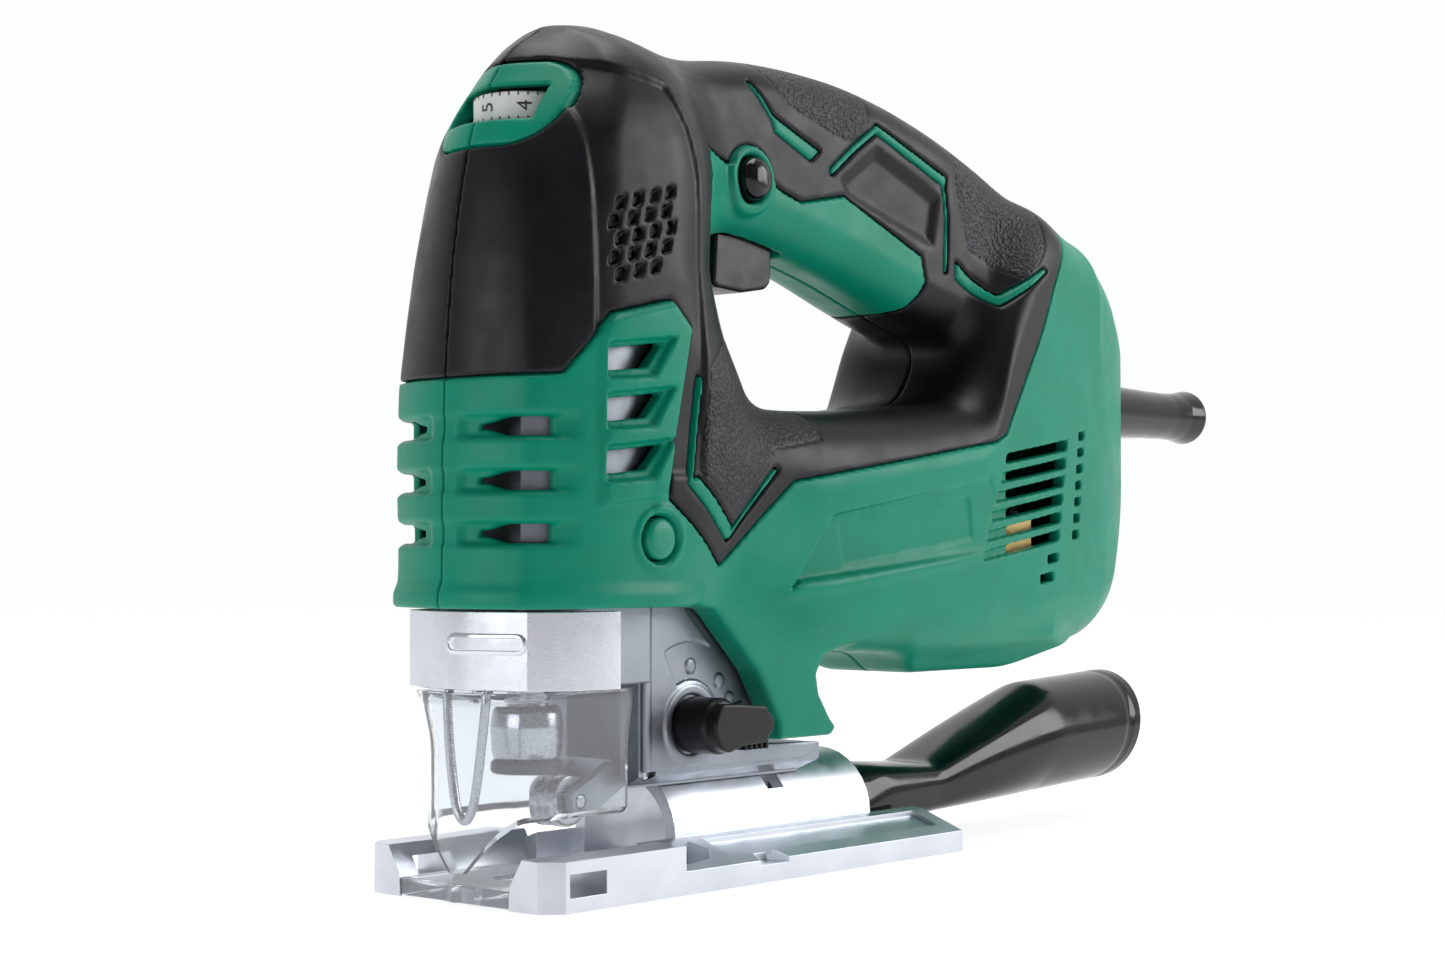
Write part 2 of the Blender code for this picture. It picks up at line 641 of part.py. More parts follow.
def make_plunger(looks):
    rod = turned("Z", BLADE_X, 0, ((5.0, 47.3), (5.0, 152)), 16)
    fixed("plunger_rod", rod, looks["steel"])
    low, high = GEAR_Z - CRANK_R - 7.3, GEAR_Z - CRANK_R + 7.3
    yoke = fixed("yoke", box((34, 40), (-20.5, 20.5), (low, high)), looks["steel"])
    arm = helper("yoke_arm", box((15.5, 34.5), (-9, 9), (low, high)))
    combine(yoke, "UNION", arm)
    cuts = box((31, 50), (-16.8, 16.8), (low + 4, high - 4))
    disc("Z", BLADE_X, 0, 5.3, 80, 140, 16, cuts)
    combine(yoke, "DIFFERENCE", helper("yoke_cuts", cuts))
    holder = ring_of("Z", BLADE_X, 0, 4.6, 1.6, 30.5, 47.0, 12)
    fixed("blade_holder", holder, looks["steel"])
    at = (BLADE_X, 0, 0)
    sleeve = [(7.6, 32.2), (8.2, 40), (7.4, 45.6), (4.95, 45.6), (4.95, 32.2)]
    fixed("clamp_sleeve", tube("Z", BLADE_X, 0, sleeve, 14), looks["steel"], at)
    fixed("clamp_ring", ring_of("Z", BLADE_X, 0, 8.0, 4.95, 28.6, 31.9, 14), looks["carbon"], at)
    weight = box((54, 60), (-15, 15), (127.5, 145.5))
    weight = fixed("counterweight", weight, looks["dark_steel"])
    combine(weight, "DIFFERENCE", helper("weight_slot", box((50, 64), (-3.7, 3.7), (100, 142))))


def make_roller(looks):
    pivot = (50, 0, 28)
    x, z = 33.8, 21.5
    bm = bmesh.new()
    cheek = [(53.5, 31), (46.5, 31.5), (38, 27), (30.6, 23.6), (31.5, 18.6), (37, 18), (50, 24.6),
             (53.5, 26)]
    for side in (-1, 1):
        prism("Y", cheek, *sorted((side * 5.2, side * 7.8)), bm=bm)
    arm = fixed("roller_arm", box((44.5, 53), (-7.6, 7.6), (25.2, 31)), looks["cast"], pivot)
    combine(arm, "UNION", helper("roller_cheeks", bm))
    cuts = disc("Y", 50, 28, 2.08 / cos(pi / 12), -12, 12, 12)
    disc("Y", x, z, 1.9, -12, 12, 10, cuts)
    combine(arm, "DIFFERENCE", helper("arm_holes", cuts))
    at = (x, 0, z)
    fixed("roller_pin", disc("Y", x, z, 1.55, -7.8, 7.8, 12), looks["steel"], at)
    wheel = [(6.4, -4.6), (6.4, -1.2), (5.2, -0.7), (5.2, 0.7), (6.4, 1.2), (6.4, 4.6),
             (1.66, 4.6), (1.66, -4.6)]
    fixed("guide_roller", tube("Y", x, z, wheel, 16), looks["steel"], at)


# ---------------------------------------------------------------- controls


def make_controls(looks):
    at = (KNOB_X, 0, KNOB_Z)
    knob = turned("Y", KNOB_X, KNOB_Z, ((7.0, -16.4), (7.0, -27)), 16)
    knob = fixed("orbit_knob", knob, looks["black"], at)
    finger = [(KNOB_X - 4, KNOB_Z - 6), (KNOB_X + 13, KNOB_Z - 3.6), (KNOB_X + 16, KNOB_Z),
              (KNOB_X + 15, KNOB_Z + 3.4), (KNOB_X - 3, KNOB_Z + 6.2), (KNOB_X - 6.8, KNOB_Z)]
    combine(knob, "UNION", helper("knob_finger", prism("Y", finger, -30.5, -25)))
    fixed("orbit_cam", disc("Y", KNOB_X, KNOB_Z, 4.0, -16.0, -4, 12), looks["steel"], at)

    at = (DIAL_X, 0, DIAL_Z)
    fixed("speed_dial", turned("Z", DIAL_X, 0, ((12, 183.8), (12.6, 185), (12.2, 191)), 20),
          looks["white"], at)
    fixed("speed_board", box((26, 48), (-7, 7), (192.2, 194)), looks["board"])

    outline = [(83.2, 151.4), (85, 150.2), (95, 149.6), (104.5, 151.2), (106.4, 153), (107.2, 172),
               (96, 172), (95.5, 164.8), (84.2, 164.8)]
    fixed("trigger", prism("Y", outline, -7.7, 7.7), looks["black"], (95, 0, 160))
    fixed("trigger_spring", spring(89, 165.1, 185.7, 3.0, 0.55, 5), looks["steel"])
    switch = [(84, 186), (94.5, 186), (94.5, 179.4), (126, 179.4), (126, 198), (84, 198)]
    fixed("switch_body", prism("Y", switch, -8.5, 8.5), looks["black"])
    button = turned("Y", LOCK_X, LOCK_Z, ((4.6, -21.2), (5.6, -19.4), (5.6, -6.8)), 14)
    fixed("lock_button", button, looks["gloss"], (LOCK_X, 0, LOCK_Z))


def spring(x, low, high, r, bar, turns):
    """A compression spring along Z."""
    steps = turns * 8
    points = []
    for i in range(steps + 1):
        angle = 2 * pi * i / 8
        z = low + bar + (high - low - 2 * bar) * i / steps
        points.append((x + r * cos(angle), r * sin(angle), z))
    rings = []
    for i, point in enumerate(points):
        angle = 2 * pi * i / 8
        out = Vector((cos(angle), sin(angle), 0))
        up = Vector((0, 0, 1))
        rings.append([
            tuple(Vector(point) + bar * (cos(pi * k / 2) * out + sin(pi * k / 2) * up))
            for k in range(4)
        ])
    return loft(rings)


def make_tail(looks):
    guard = [(10.4, 259.5), (10.4, 263), (8.8, 263), (8.9, 280), (7.7, 320), (8.0, 330), (8.9, 333.6),
             (5.2, 333.6), (4.2, 328), (4.2, 259.5)]
    fixed("cord_guard", tube("X", 0, CORD_Z, guard, 16), looks["black"])
    fixed("cord_clamp", box((240, 252), (-12, 12), (132, 136)), looks["black"])
    plug = turned("Y", PLUG_X, PLUG_Z, ((4.6, -32.9), (5.0, -32.4), (5.0, -27.2)), 14)
    fixed("side_plug", plug, looks["green"])
    places = ((56, 160), (140, 176), (214, 160), (236, 66), (120, 64), (186, 100))
    # Shell screws go in from the right: head in the right half, thread in the left.
    for i, (x, z) in enumerate(places, 1):
        screw = turned("Y", x, z, ((1.7, -9.0), (1.7, 8.0), (3.4, 8.001), (3.4, 11.0)), 8)
        fixed(f"shell_screw_{i}", screw, looks["steel"])


def ellipse_ring(x, z, half_y, up, down, tilt, count=16):
    """A ring across X: the upper half is up high and the lower half down deep."""
    points = []
    for i in range(count):
        a = 2 * pi * i / count
        rise = up if sin(a) >= 0 else down
        points.append((x + tilt * sin(a) * rise, half_y * cos(a), z + rise * sin(a)))
    return points


def make_nozzle(looks):
    stations = (
        (126, TILT_Z, 13.2, 13.2, 6.0, 0.0),
        (150, TILT_Z, 13.2, 12.6, 6.0, 0.0),
        (176, 13.0, 13.0, 8.5, 5.5, 0.05),
        (232, 25.2, 16.4, 16.8, 16.8, 0.16),
        (277, 27.2, 16.8, 17.0, 17.0, 0.2),
    )
    wall = 2.2
    outer = [ellipse_ring(*s) for s in stations]
    inner = [
        ellipse_ring(x, z, half - wall, up - wall, down - wall, tilt)
        for x, z, half, up, down, tilt in stations
    ]
    fixed("dust_nozzle", ring_loop(outer + inner[::-1]), looks["gloss"])


def make_looks():
    return {
        "green": material("green_nylon", GREEN, 0.5),
        "rubber": material("black_rubber", BLACK, 0.62),
        "black": material("black_nylon", BLACK, 0.45),
        "gloss": material("gloss_black", (0.012, 0.012, 0.013), 0.18),
        "alloy": material("cast_alloy", ALLOY, 0.45, 0.7),
        "cast": material("gear_case_alloy", (0.42, 0.43, 0.45), 0.5, 0.7),
        "satin": material("satin_alloy", (0.66, 0.67, 0.70), 0.35, 0.8),
        "steel": material("steel", STEEL, 0.3, 1.0),
        "dark_steel": material("laminated_steel", (0.16, 0.16, 0.17), 0.5, 0.8),
        "bronze": material("bronze", (0.42, 0.28, 0.14), 0.4, 1.0),
        "brass": material("brass", (0.62, 0.47, 0.20), 0.35, 1.0),
        "copper": material("copper", COPPER, 0.35, 1.0),
        "carbon": material("carbon", (0.03, 0.03, 0.03), 0.6),
        "gray": material("gray_nylon", (0.25, 0.26, 0.27), 0.5),
        "clear": material("clear_plastic", CLEAR, 0.08, 0.0, 0.3),
        "white": material("white_plastic", WHITE, 0.4),
        "board": material("circuit_board", (0.02, 0.12, 0.05), 0.5),
    }


def main():
    for obj in list(bpy.data.objects):
        bpy.data.objects.remove(obj)
    looks = make_looks()
    make_shells(looks)
    make_base(looks)
    make_front(looks)
    make_gear_case(looks)
    make_drive(looks)
    make_plunger(looks)
    make_roller(looks)
    make_controls(looks)
    make_tail(looks)
    make_nozzle(looks)


main()
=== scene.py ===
"""Looks of the D-handle jigsaw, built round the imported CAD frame.

Lengths are in millimetres. X is counted from the base plate's front edge, +Z is up and
-Y is the tool's left. The body shells are modelled as distance fields: each feature is a
distance, the features are blended, and the zero level is meshed. Smaller pieces are
turned, swept or bevelled.
"""

import json
from math import cos, pi, radians, sin

import bmesh
import bpy
import numpy as np
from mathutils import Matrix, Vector

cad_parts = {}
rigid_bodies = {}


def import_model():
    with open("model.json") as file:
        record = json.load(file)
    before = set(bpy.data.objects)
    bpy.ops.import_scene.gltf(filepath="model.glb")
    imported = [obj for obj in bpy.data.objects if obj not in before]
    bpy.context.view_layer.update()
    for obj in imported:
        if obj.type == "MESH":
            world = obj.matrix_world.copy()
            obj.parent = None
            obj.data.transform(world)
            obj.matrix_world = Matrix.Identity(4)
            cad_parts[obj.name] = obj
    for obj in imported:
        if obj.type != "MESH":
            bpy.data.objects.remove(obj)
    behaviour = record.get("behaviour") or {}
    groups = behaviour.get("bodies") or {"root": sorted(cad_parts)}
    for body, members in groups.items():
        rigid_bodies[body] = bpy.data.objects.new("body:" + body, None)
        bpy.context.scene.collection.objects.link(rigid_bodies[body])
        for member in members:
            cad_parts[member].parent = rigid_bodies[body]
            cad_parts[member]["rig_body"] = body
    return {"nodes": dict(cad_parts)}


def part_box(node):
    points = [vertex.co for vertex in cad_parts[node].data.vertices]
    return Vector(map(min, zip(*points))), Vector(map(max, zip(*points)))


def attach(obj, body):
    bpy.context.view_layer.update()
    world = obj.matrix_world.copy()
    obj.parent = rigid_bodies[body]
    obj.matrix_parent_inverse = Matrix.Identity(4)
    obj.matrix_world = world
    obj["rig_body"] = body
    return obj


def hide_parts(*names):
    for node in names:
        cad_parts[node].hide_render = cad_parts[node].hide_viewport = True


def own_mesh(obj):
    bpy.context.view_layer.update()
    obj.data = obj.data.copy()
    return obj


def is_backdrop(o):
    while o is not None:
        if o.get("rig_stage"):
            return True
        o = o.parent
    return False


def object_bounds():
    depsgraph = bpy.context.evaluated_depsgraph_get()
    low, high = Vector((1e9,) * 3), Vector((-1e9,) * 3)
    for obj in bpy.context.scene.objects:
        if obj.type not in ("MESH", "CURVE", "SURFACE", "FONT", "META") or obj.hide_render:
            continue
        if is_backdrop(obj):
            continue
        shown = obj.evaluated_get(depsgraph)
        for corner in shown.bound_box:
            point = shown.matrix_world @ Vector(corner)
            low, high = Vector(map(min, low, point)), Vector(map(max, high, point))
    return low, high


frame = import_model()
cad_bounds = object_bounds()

MM = 0.001
FRONT_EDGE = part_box("base_plate")[0].x / MM  # where X = 0 lies in the frame
CELL = 0.62  # sampling step of the body shells
CASE_CELL = 0.4  # sampling step of the gear case's side faces
CHUNK = 400_000  # points measured at a time
FAR = 6.0  # where a distance to an outline stops growing, unless a call gives its own
SIDES = ((-1, "left"), (1, "right"))


def middle(node):
    """Middle of a CAD node, in this script's millimetres."""
    low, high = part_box(node)
    point = (low + high) / 2 / MM
    return Vector((point.x - FRONT_EDGE, point.y, point.z))


def reach(node):
    """Lowest and highest corner of a CAD node, in this script's millimetres."""
    shift = Vector((FRONT_EDGE, 0, 0))
    low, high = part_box(node)
    return low / MM - shift, high / MM - shift


# ---------------------------------------------------------------- materials

# Heights of the surface grains in metres, and the pebbles to a metre
MOULD_DEPTH = 0.00005
METAL_DEPTH = 0.00004
PEBBLE_DEPTH = 0.0005
PEBBLE_SCALE = 1100.0


def set_inputs(node, values):
    for name, value in values.items():
        node.inputs[name].default_value = value


def new_node(tree, kind, values, **settings):
    """A shader node with its settings and the values of its inputs."""
    node = tree.nodes.new(kind)
    for name, value in settings.items():
        setattr(node, name, value)
    set_inputs(node, values)
    return node


def shader_of(name, color, rough, metal=0.0, specular=0.5):
    made = bpy.data.materials.new(name)
    made.use_nodes = True
    shader = made.node_tree.nodes["Principled BSDF"]
    set_inputs(shader, {"Base Color": (*color, 1), "Roughness": rough, "Metallic": metal,
                        "Specular IOR Level": specular})
    return made, made.node_tree, shader


def noise(tree, scale, detail=3.0, stretch=None):
    """Noise in frame metres; the scale is in grains per metre."""
    source = tree.nodes.new("ShaderNodeTexCoord").outputs["Object"]
    if stretch:
        mapping = new_node(tree, "ShaderNodeMapping", {"Scale": stretch})
        tree.links.new(source, mapping.inputs["Vector"])
        source = mapping.outputs["Vector"]
    node = new_node(tree, "ShaderNodeTexNoise", {"Scale": scale, "Detail": detail})
    tree.links.new(source, node.inputs["Vector"])
    return node.outputs["Fac"]


def spread(tree, source, low, high):
    """Maps the middle of a noise onto low..high."""
    limits = {"From Min": 0.3, "From Max": 0.7, "To Min": low, "To Max": high}
    node = new_node(tree, "ShaderNodeMapRange", limits)
    tree.links.new(source, node.inputs["Value"])
    return node.outputs["Result"]


def bump(tree, shader, source, strength, depth):
    node = new_node(tree, "ShaderNodeBump", {"Strength": strength, "Distance": depth})
    tree.links.new(source, node.inputs["Height"])
    tree.links.new(node.outputs["Normal"], shader.inputs["Normal"])


def tint(tree, shader, source, dark, light):
    """Colour that drifts between two close shades."""
    shades = {"A": (*dark, 1), "B": (*light, 1)}
    node = new_node(tree, "ShaderNodeMix", shades, data_type="RGBA")
    tree.links.new(spread(tree, source, 0.0, 1.0), node.inputs["Factor"])
    tree.links.new(node.outputs["Result"], shader.inputs["Base Color"])


def moulded(name, dark, light, rough, grain=2600.0, strength=0.25, specular=0.5):
    """Spark-eroded moulded plastic: a fine grain, and gloss that drifts a little."""
    made, tree, shader = shader_of(name, light, rough, specular=specular)
    tint(tree, shader, noise(tree, 60.0), dark, light)
    drift = spread(tree, noise(tree, 140.0), rough - 0.05, rough + 0.06)
    tree.links.new(drift, shader.inputs["Roughness"])
    bump(tree, shader, noise(tree, grain, 4.0), strength, MOULD_DEPTH)
    return made


def leathered(name, dark, light, rough):
    """Pebbled grip rubber."""
    made, tree, shader = shader_of(name, light, rough, specular=0.35)
    tint(tree, shader, noise(tree, 90.0), dark, light)
    place = tree.nodes.new("ShaderNodeTexCoord")
    scale = {"Scale": PEBBLE_SCALE}
    pebbles = new_node(tree, "ShaderNodeTexVoronoi", scale, feature="SMOOTH_F1")
    tree.links.new(place.outputs["Object"], pebbles.inputs["Vector"])
    bump(tree, shader, pebbles.outputs["Distance"], 1.0, PEBBLE_DEPTH)
    return made


def metal(name, color, rough, grain=900.0, strength=0.3, stretch=None):
    made, tree, shader = shader_of(name, color, rough, 1.0)
    dark = [c * 0.86 for c in color]
    tint(tree, shader, noise(tree, 45.0), dark, color)
    drift = spread(tree, noise(tree, 220.0, 3.0, stretch), rough - 0.06, rough + 0.08)
    tree.links.new(drift, shader.inputs["Roughness"])
    bump(tree, shader, noise(tree, grain, 5.0, stretch), strength, METAL_DEPTH)
    return made


def clear_plastic(name, color, rough, transmission):
    made, tree, shader = shader_of(name, color, rough)
    set_inputs(shader, {"Transmission Weight": transmission, "IOR": 1.46})
    haze = spread(tree, noise(tree, 120.0), rough, rough + 0.05)
    tree.links.new(haze, shader.inputs["Roughness"])
    return made


def make_looks():
    green_dark, green_light = (0.0, 0.195, 0.115), (0.0, 0.225, 0.138)
    black_dark, black_light = (0.003, 0.003, 0.004), (0.006, 0.006, 0.008)
    pebble_light = (0.016, 0.016, 0.021)
    brushed = (1.0, 14.0, 14.0)
    return {
        "green": moulded("green_nylon", green_dark, green_light, 0.40, specular=0.2),
        "green_plain": moulded("green_nylon_smooth", green_dark, green_light, 0.34, strength=0.1,
                               specular=0.3),
        "rubber": moulded("black_rubber", black_dark, black_light, 0.38, 1800.0, 0.3, specular=0.24),
        "pebbled": leathered("pebbled_rubber", black_dark, pebble_light, 0.5),
        "black": moulded("black_nylon", black_dark, black_light, 0.36, 2200.0, 0.25, specular=0.3),
        "gloss": moulded("gloss_black", black_dark, black_light, 0.14, 1500.0, 0.04, specular=0.35),
        "white": moulded("dial_white", (0.56, 0.58, 0.57), (0.66, 0.68, 0.67), 0.38),
        "ink": moulded("dial_ink", (0.02, 0.02, 0.02), (0.035, 0.035, 0.035), 0.5),
        "alloy": metal("base_alloy", (0.72, 0.745, 0.81), 0.38, 1400.0, 0.35),
        "case": metal("case_alloy", (0.30, 0.32, 0.36), 0.42, 1200.0, 0.4),
        "lever": metal("lever_alloy", (0.70, 0.72, 0.77), 0.26, 1500.0, 0.25),
        "steel": metal("turned_steel", (0.50, 0.51, 0.54), 0.24, 700.0, 0.15, brushed),
        "dark": metal("dark_steel", (0.07, 0.07, 0.08), 0.42),
        "bronze": metal("sintered_bronze", (0.42, 0.28, 0.14), 0.4),
        "brass": metal("brass", (0.62, 0.47, 0.20), 0.32),
        "copper": metal("copper", (0.60, 0.28, 0.12), 0.3, stretch=brushed),
        "clear": clear_plastic("clear_polycarbonate", (0.90, 0.93, 0.96), 0.04, 0.93),
        "gray": moulded("gray_nylon", (0.20, 0.21, 0.22), (0.27, 0.28, 0.29), 0.45),
        "board": moulded("circuit_board", (0.010, 0.080, 0.030), (0.02, 0.12, 0.05), 0.35),
    }


# ---------------------------------------------------------------- mesh helpers


def object_of(name, data):
    obj = bpy.data.objects.new(name, data)
    bpy.context.scene.collection.objects.link(obj)
    return obj


def mesh_of(name, bm):
    mesh = bpy.data.meshes.new(name)
    bm.to_mesh(mesh)
    bm.free()
    return mesh


def frame_mesh(name, bm):
    """A mesh in the frame's metres from one in millimetres, its faces turned outwards."""
    for vert in bm.verts:
        vert.co = Vector(((vert.co.x + FRONT_EDGE) * MM, vert.co.y * MM, vert.co.z * MM))
    bmesh.ops.recalc_face_normals(bm, faces=bm.faces)
    return mesh_of(name, bm)


def piece(name, bm, body, look, slot, nodes=(), angle=32.0):
    """Turns a mesh in millimetres into a piece that rides on a CAD body."""
    return finish_piece(frame_mesh(name, bm), body, look, slot, nodes, angle)


def fine(node, bm, look, slot, angle=32.0):
    """A piece that stands for one CAD node and rides on the node's body."""
    return piece(node + "_fine", bm, frame["nodes"][node]["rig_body"], look, slot, [node], angle)


def finish_piece(mesh, body, look, slot, nodes, angle=0):
    """A piece named as its mesh; edges sharper than the angle stay sharp, unless it is 0."""
    obj = object_of(mesh.name, mesh)
    for each in look if isinstance(look, list) else [look]:
        mesh.materials.append(each)
    for polygon in mesh.polygons:
        polygon.use_smooth = True
    if angle:
        mesh.set_sharp_from_angle(angle=radians(angle))
    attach(obj, body)
    if nodes:
        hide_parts(*nodes)
    return obj


def bevelled(obj, width, segments=3, angle=32.0):
    modifier = obj.modifiers.new("Bevel", "BEVEL")
    modifier.width = width * MM
    modifier.segments = segments
    modifier.limit_method = "ANGLE"
    modifier.angle_limit = radians(angle)
    modifier.harden_normals = False
    for polygon in obj.data.polygons:
        polygon.use_smooth = True
    weighted = obj.modifiers.new("Normals", "WEIGHTED_NORMAL")
    weighted.keep_sharp = True
    return obj


def from_cad(node, look, slot, width=0.4, segments=3, cutters=()):
    """The CAD node with its edges rounded, as a piece of its own."""
    source = frame["nodes"][node]
    bm = bmesh.new()
    bm.from_mesh(source.data)
    bmesh.ops.remove_doubles(bm, verts=bm.verts, dist=2e-6)
    bmesh.ops.dissolve_limit(bm, angle_limit=radians(1.0), verts=bm.verts, edges=bm.edges)
    mesh = mesh_of(node + "_fine", bm)
    obj = finish_piece(mesh, source["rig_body"], look, slot, [node])
    for cutter in cutters:
        cut_by(obj, cutter)
    return bevelled(obj, width, segments)


def ring_faces(bm, rings, loop=False):
    """Joins rings of points by faces; the ends are closed, or joined to each other by loop."""
    made = [[bm.verts.new(point) for point in ring] for ring in rings]
    count = len(made[0])
    pairs = list(zip(made, made[1:]))
    if loop:
        pairs.append((made[-1], made[0]))
    for a, b in pairs:
        for i in range(count):
            j = (i + 1) % count
            bm.faces.new((a[i], a[j], b[j], b[i]))
    if not loop:
        bm.faces.new(made[0][::-1])
        bm.faces.new(made[-1])
    return bm


def on_axis(axis, u, v, w):
    """The point with w along the axis and u, v across it."""
    return {"X": (w, u, v), "Y": (u, w, v), "Z": (u, v, w)}[axis]


def turned(axis, centre, profile, count=72, loop=False):
    """A turned shape from (radius, place) pairs; loop closes it round a bore."""
    rings = []
    turn = [2 * pi * i / count for i in range(count)]
    for r, w in rounded_profile(profile, loop):
        circle = [(centre[0] + r * cos(a), centre[1] + r * sin(a)) for a in turn]
        rings.append([on_axis(axis, u, v, w) for u, v in circle])
    return ring_faces(bmesh.new(), rings, loop)


def rounded_profile(profile, loop, radius=0.35):
    """The profile with each corner cut by a small two-step round."""
    points = [Vector(p) for p in profile]
    count = len(points)
    out = []
    for i, point in enumerate(points):
        if not loop and i in (0, count - 1):
            out.append(tuple(point))
            continue
        before, after = points[i - 1] - point, points[(i + 1) % count] - point
        cut = min(radius, before.length * 0.4, after.length * 0.4)
        a, b = point + before.normalized() * cut, point + after.normalized() * cut
        out += [tuple(a), tuple((a + b) / 4 + point / 2), tuple(b)]
    return out


def prism(axis, outline, low, high, bm=None):
    """A straight bar with the given outline, in a mesh of its own or added to bm."""
    rings = [[on_axis(axis, u, v, w) for u, v in outline] for w in (low, high)]
    return ring_faces(bm or bmesh.new(), rings)


def arc(u, v, r, start, turn, count=24):
    angles = [radians(start + turn * i / count) for i in range(count + 1)]
    return [(u + r * cos(a), v + r * sin(a)) for a in angles]


def swept(path, radius, sides=20):
    """A round bar along a smooth path through the given points."""
    points = [Vector(p) for p in smoothed(path)]
    rings = []
    turn = [2 * pi * k / sides for k in range(sides)]
    side = Vector((0, 0, 0))
    for i, point in enumerate(points):
        along = (points[min(i + 1, len(points) - 1)] - points[max(i - 1, 0)]).normalized()
        if side.length == 0:
            side = along.orthogonal().normalized()
        side = (side - along * side.dot(along)).normalized()
        other = along.cross(side)
        rings.append([tuple(point + radius * (cos(a) * side + sin(a) * other)) for a in turn])
    return ring_faces(bmesh.new(), rings)


def smoothed(path, rounds=4):
    """Corner cutting, which keeps the two ends."""
    points = [Vector(p) for p in path]
    for _ in range(rounds):
        out = [points[0]]
        for a, b in zip(points, points[1:]):
            out += [a * 0.75 + b * 0.25, a * 0.25 + b * 0.75]
        points = out + [points[-1]]
    return points


# ---------------------------------------------------------------- distance fields


def smooth_max(a, b, r):
    h = np.clip(0.5 + 0.5 * (a - b) / r, 0, 1)
    return b + (a - b) * h + r * h * (1 - h)


def smooth_min(a, b, r):
    return -smooth_max(-a, -b, r)


def smooth_curve(places, values, soft):
    """A smoothed line through the stations, as a function."""
    step = 0.5
    grid = np.arange(places[0] - 40, places[-1] + 40, step)
    line = np.interp(grid, places, values)
    width = max(1, int(soft / step))
    kernel = np.ones(width) / width
    for _ in range(2):
        padded = np.pad(line, width, mode="edge")
        line = np.convolve(padded, kernel, mode="same")[width:-width]
    return lambda at: np.interp(at, grid, line)


def stations(rows, soft):
    """One smooth curve for each column after the first."""
    columns = list(zip(*rows))
    return [smooth_curve(columns[0], column, soft) for column in columns[1:]]


def true_distance(field, x, y, z, step=0.25):
    """The field divided by its slope, so that it measures millimetres near zero."""
    value = field(x, y, z)
    slope = (field(x + step, y, z) - value) ** 2
    slope += (field(x, y + step, z) - value) ** 2
    slope += (field(x, y, z + step) - value) ** 2
    return value * step / np.maximum(np.sqrt(slope), 0.3 * step)


def far_off(x):
    """The distance to start from, before any feature is near."""
    return np.full(x.shape, FAR, np.float32)


def from_segment(u, v, start, end):
    """Squared distance from a straight segment."""
    ex, ez = end[0] - start[0], end[1] - start[1]
    px, pz = u - start[0], v - start[1]
    t = np.clip((px * ex + pz * ez) / (ex * ex + ez * ez), 0, 1)
    return (px - t * ex) ** 2 + (pz - t * ez) ** 2


def from_axis(at, x, z):
    """Distance from the line across the tool through a point."""
    return np.sqrt((x - at.x) ** 2 + (z - at.z) ** 2)


def slant_slot(x, z, mid, height, half_x, half_z, slope):
    """Distance to a small slot that climbs towards the tail."""
    return np.maximum(np.abs(x - mid) - half_x, np.abs(z - height - slope * (x - mid)) - half_z)


def block_distance(x, y, z, centre, half):
    """Distance to an upright block, from the face that stands furthest away."""
    beside = np.maximum(np.abs(y - centre[1]) - half[1], np.abs(z - centre[2]) - half[2])
    return np.maximum(np.abs(x - centre[0]) - half[0], beside)


def outline_distance(outline, u, v, far=FAR):
    """Signed distance to a closed outline, below zero inside; it stops at far outside."""
    low = np.min(outline, axis=0) - far
    high = np.max(outline, axis=0) + far
    near = (u > low[0]) & (u < high[0]) & (v > low[1]) & (v < high[1])
    out = np.full(u.shape, far, np.float32)
    if not near.any():
        return out
    u, v = u[near], v[near]
    best = np.full(u.shape, 1e9, np.float32)
    inside = np.zeros(u.shape, bool)
    for (ax, az), (bx, bz) in zip(outline, outline[1:] + outline[:1]):
        best = np.minimum(best, from_segment(u, v, (ax, az), (bx, bz)))
        crossed = (az > v) != (bz > v)
        inside ^= crossed & (u < (bx - ax) * (v - az) / ((bz - az) or 1e-9) + ax)
    out[near] = np.where(inside, -1, 1) * np.sqrt(best)
    return out


def ribbon_distance(path, half, u, v):
    """Distance to a band along an open path."""
    best = np.full(u.shape, 1e9, np.float32)
    for start, end in zip(path, path[1:]):
        best = np.minimum(best, from_segment(u, v, start, end))
    return np.sqrt(best) - half


def step_of(distance, width):
    """1 inside an edge, 0 outside, with a soft step of the given width."""
    t = np.clip(0.5 - distance / width, 0, 1)
    return t * t * (3 - 2 * t)


def ramp(at, start, end):
    """0 before the start, 1 after the end, and a soft rise between them."""
    t = np.clip((at - start) / (end - start), 0, 1)
    return t * t * (3 - 2 * t)


def in_blocks(coarse, block):
    """Each coarse value repeated over its block of the fine grid."""
    return coarse.repeat(block, 0).repeat(block, 1).repeat(block, 2)


def window(values, corner, shape):
    return values[tuple(slice(s, s + n) for s, n in zip(corner, shape))]


def sample(field, low, high, cell):
    """Field values on a fine grid; far from the surface they only keep their sign."""
    block = 4
    counts = [int((h - l) / (cell * block)) + 2 for l, h in zip(low, high)]
    size = cell * block
    centres = [l + size * (np.arange(n) + 0.5) for l, n in zip(low, counts)]
    coarse = np.stack(np.meshgrid(*centres, indexing="ij"), -1).reshape(-1, 3)
    rough = field(*coarse.T.astype(np.float32)).reshape(counts)
    close = np.abs(rough) < size * 1.25
    full = tuple(n * block + 1 for n in counts)
    values = np.ones(full, np.float32)
    mask = np.zeros(full, bool)
    values[:-1, :-1, :-1] = in_blocks(np.where(rough < 0, -1.0, 1.0), block)
    values[-1], values[:, -1], values[:, :, -1] = 1.0, 1.0, 1.0
    fine = in_blocks(close, block)
    for shift in np.ndindex(2, 2, 2):
        part = window(mask, shift, fine.shape)
        part |= fine
    index = np.argwhere(mask)
    for start in range(0, len(index), CHUNK):
        part = index[start : start + CHUNK]
        points = (part * cell + np.array(low)).astype(np.float32)
        values[tuple(part.T)] = field(*points.T)
    return values


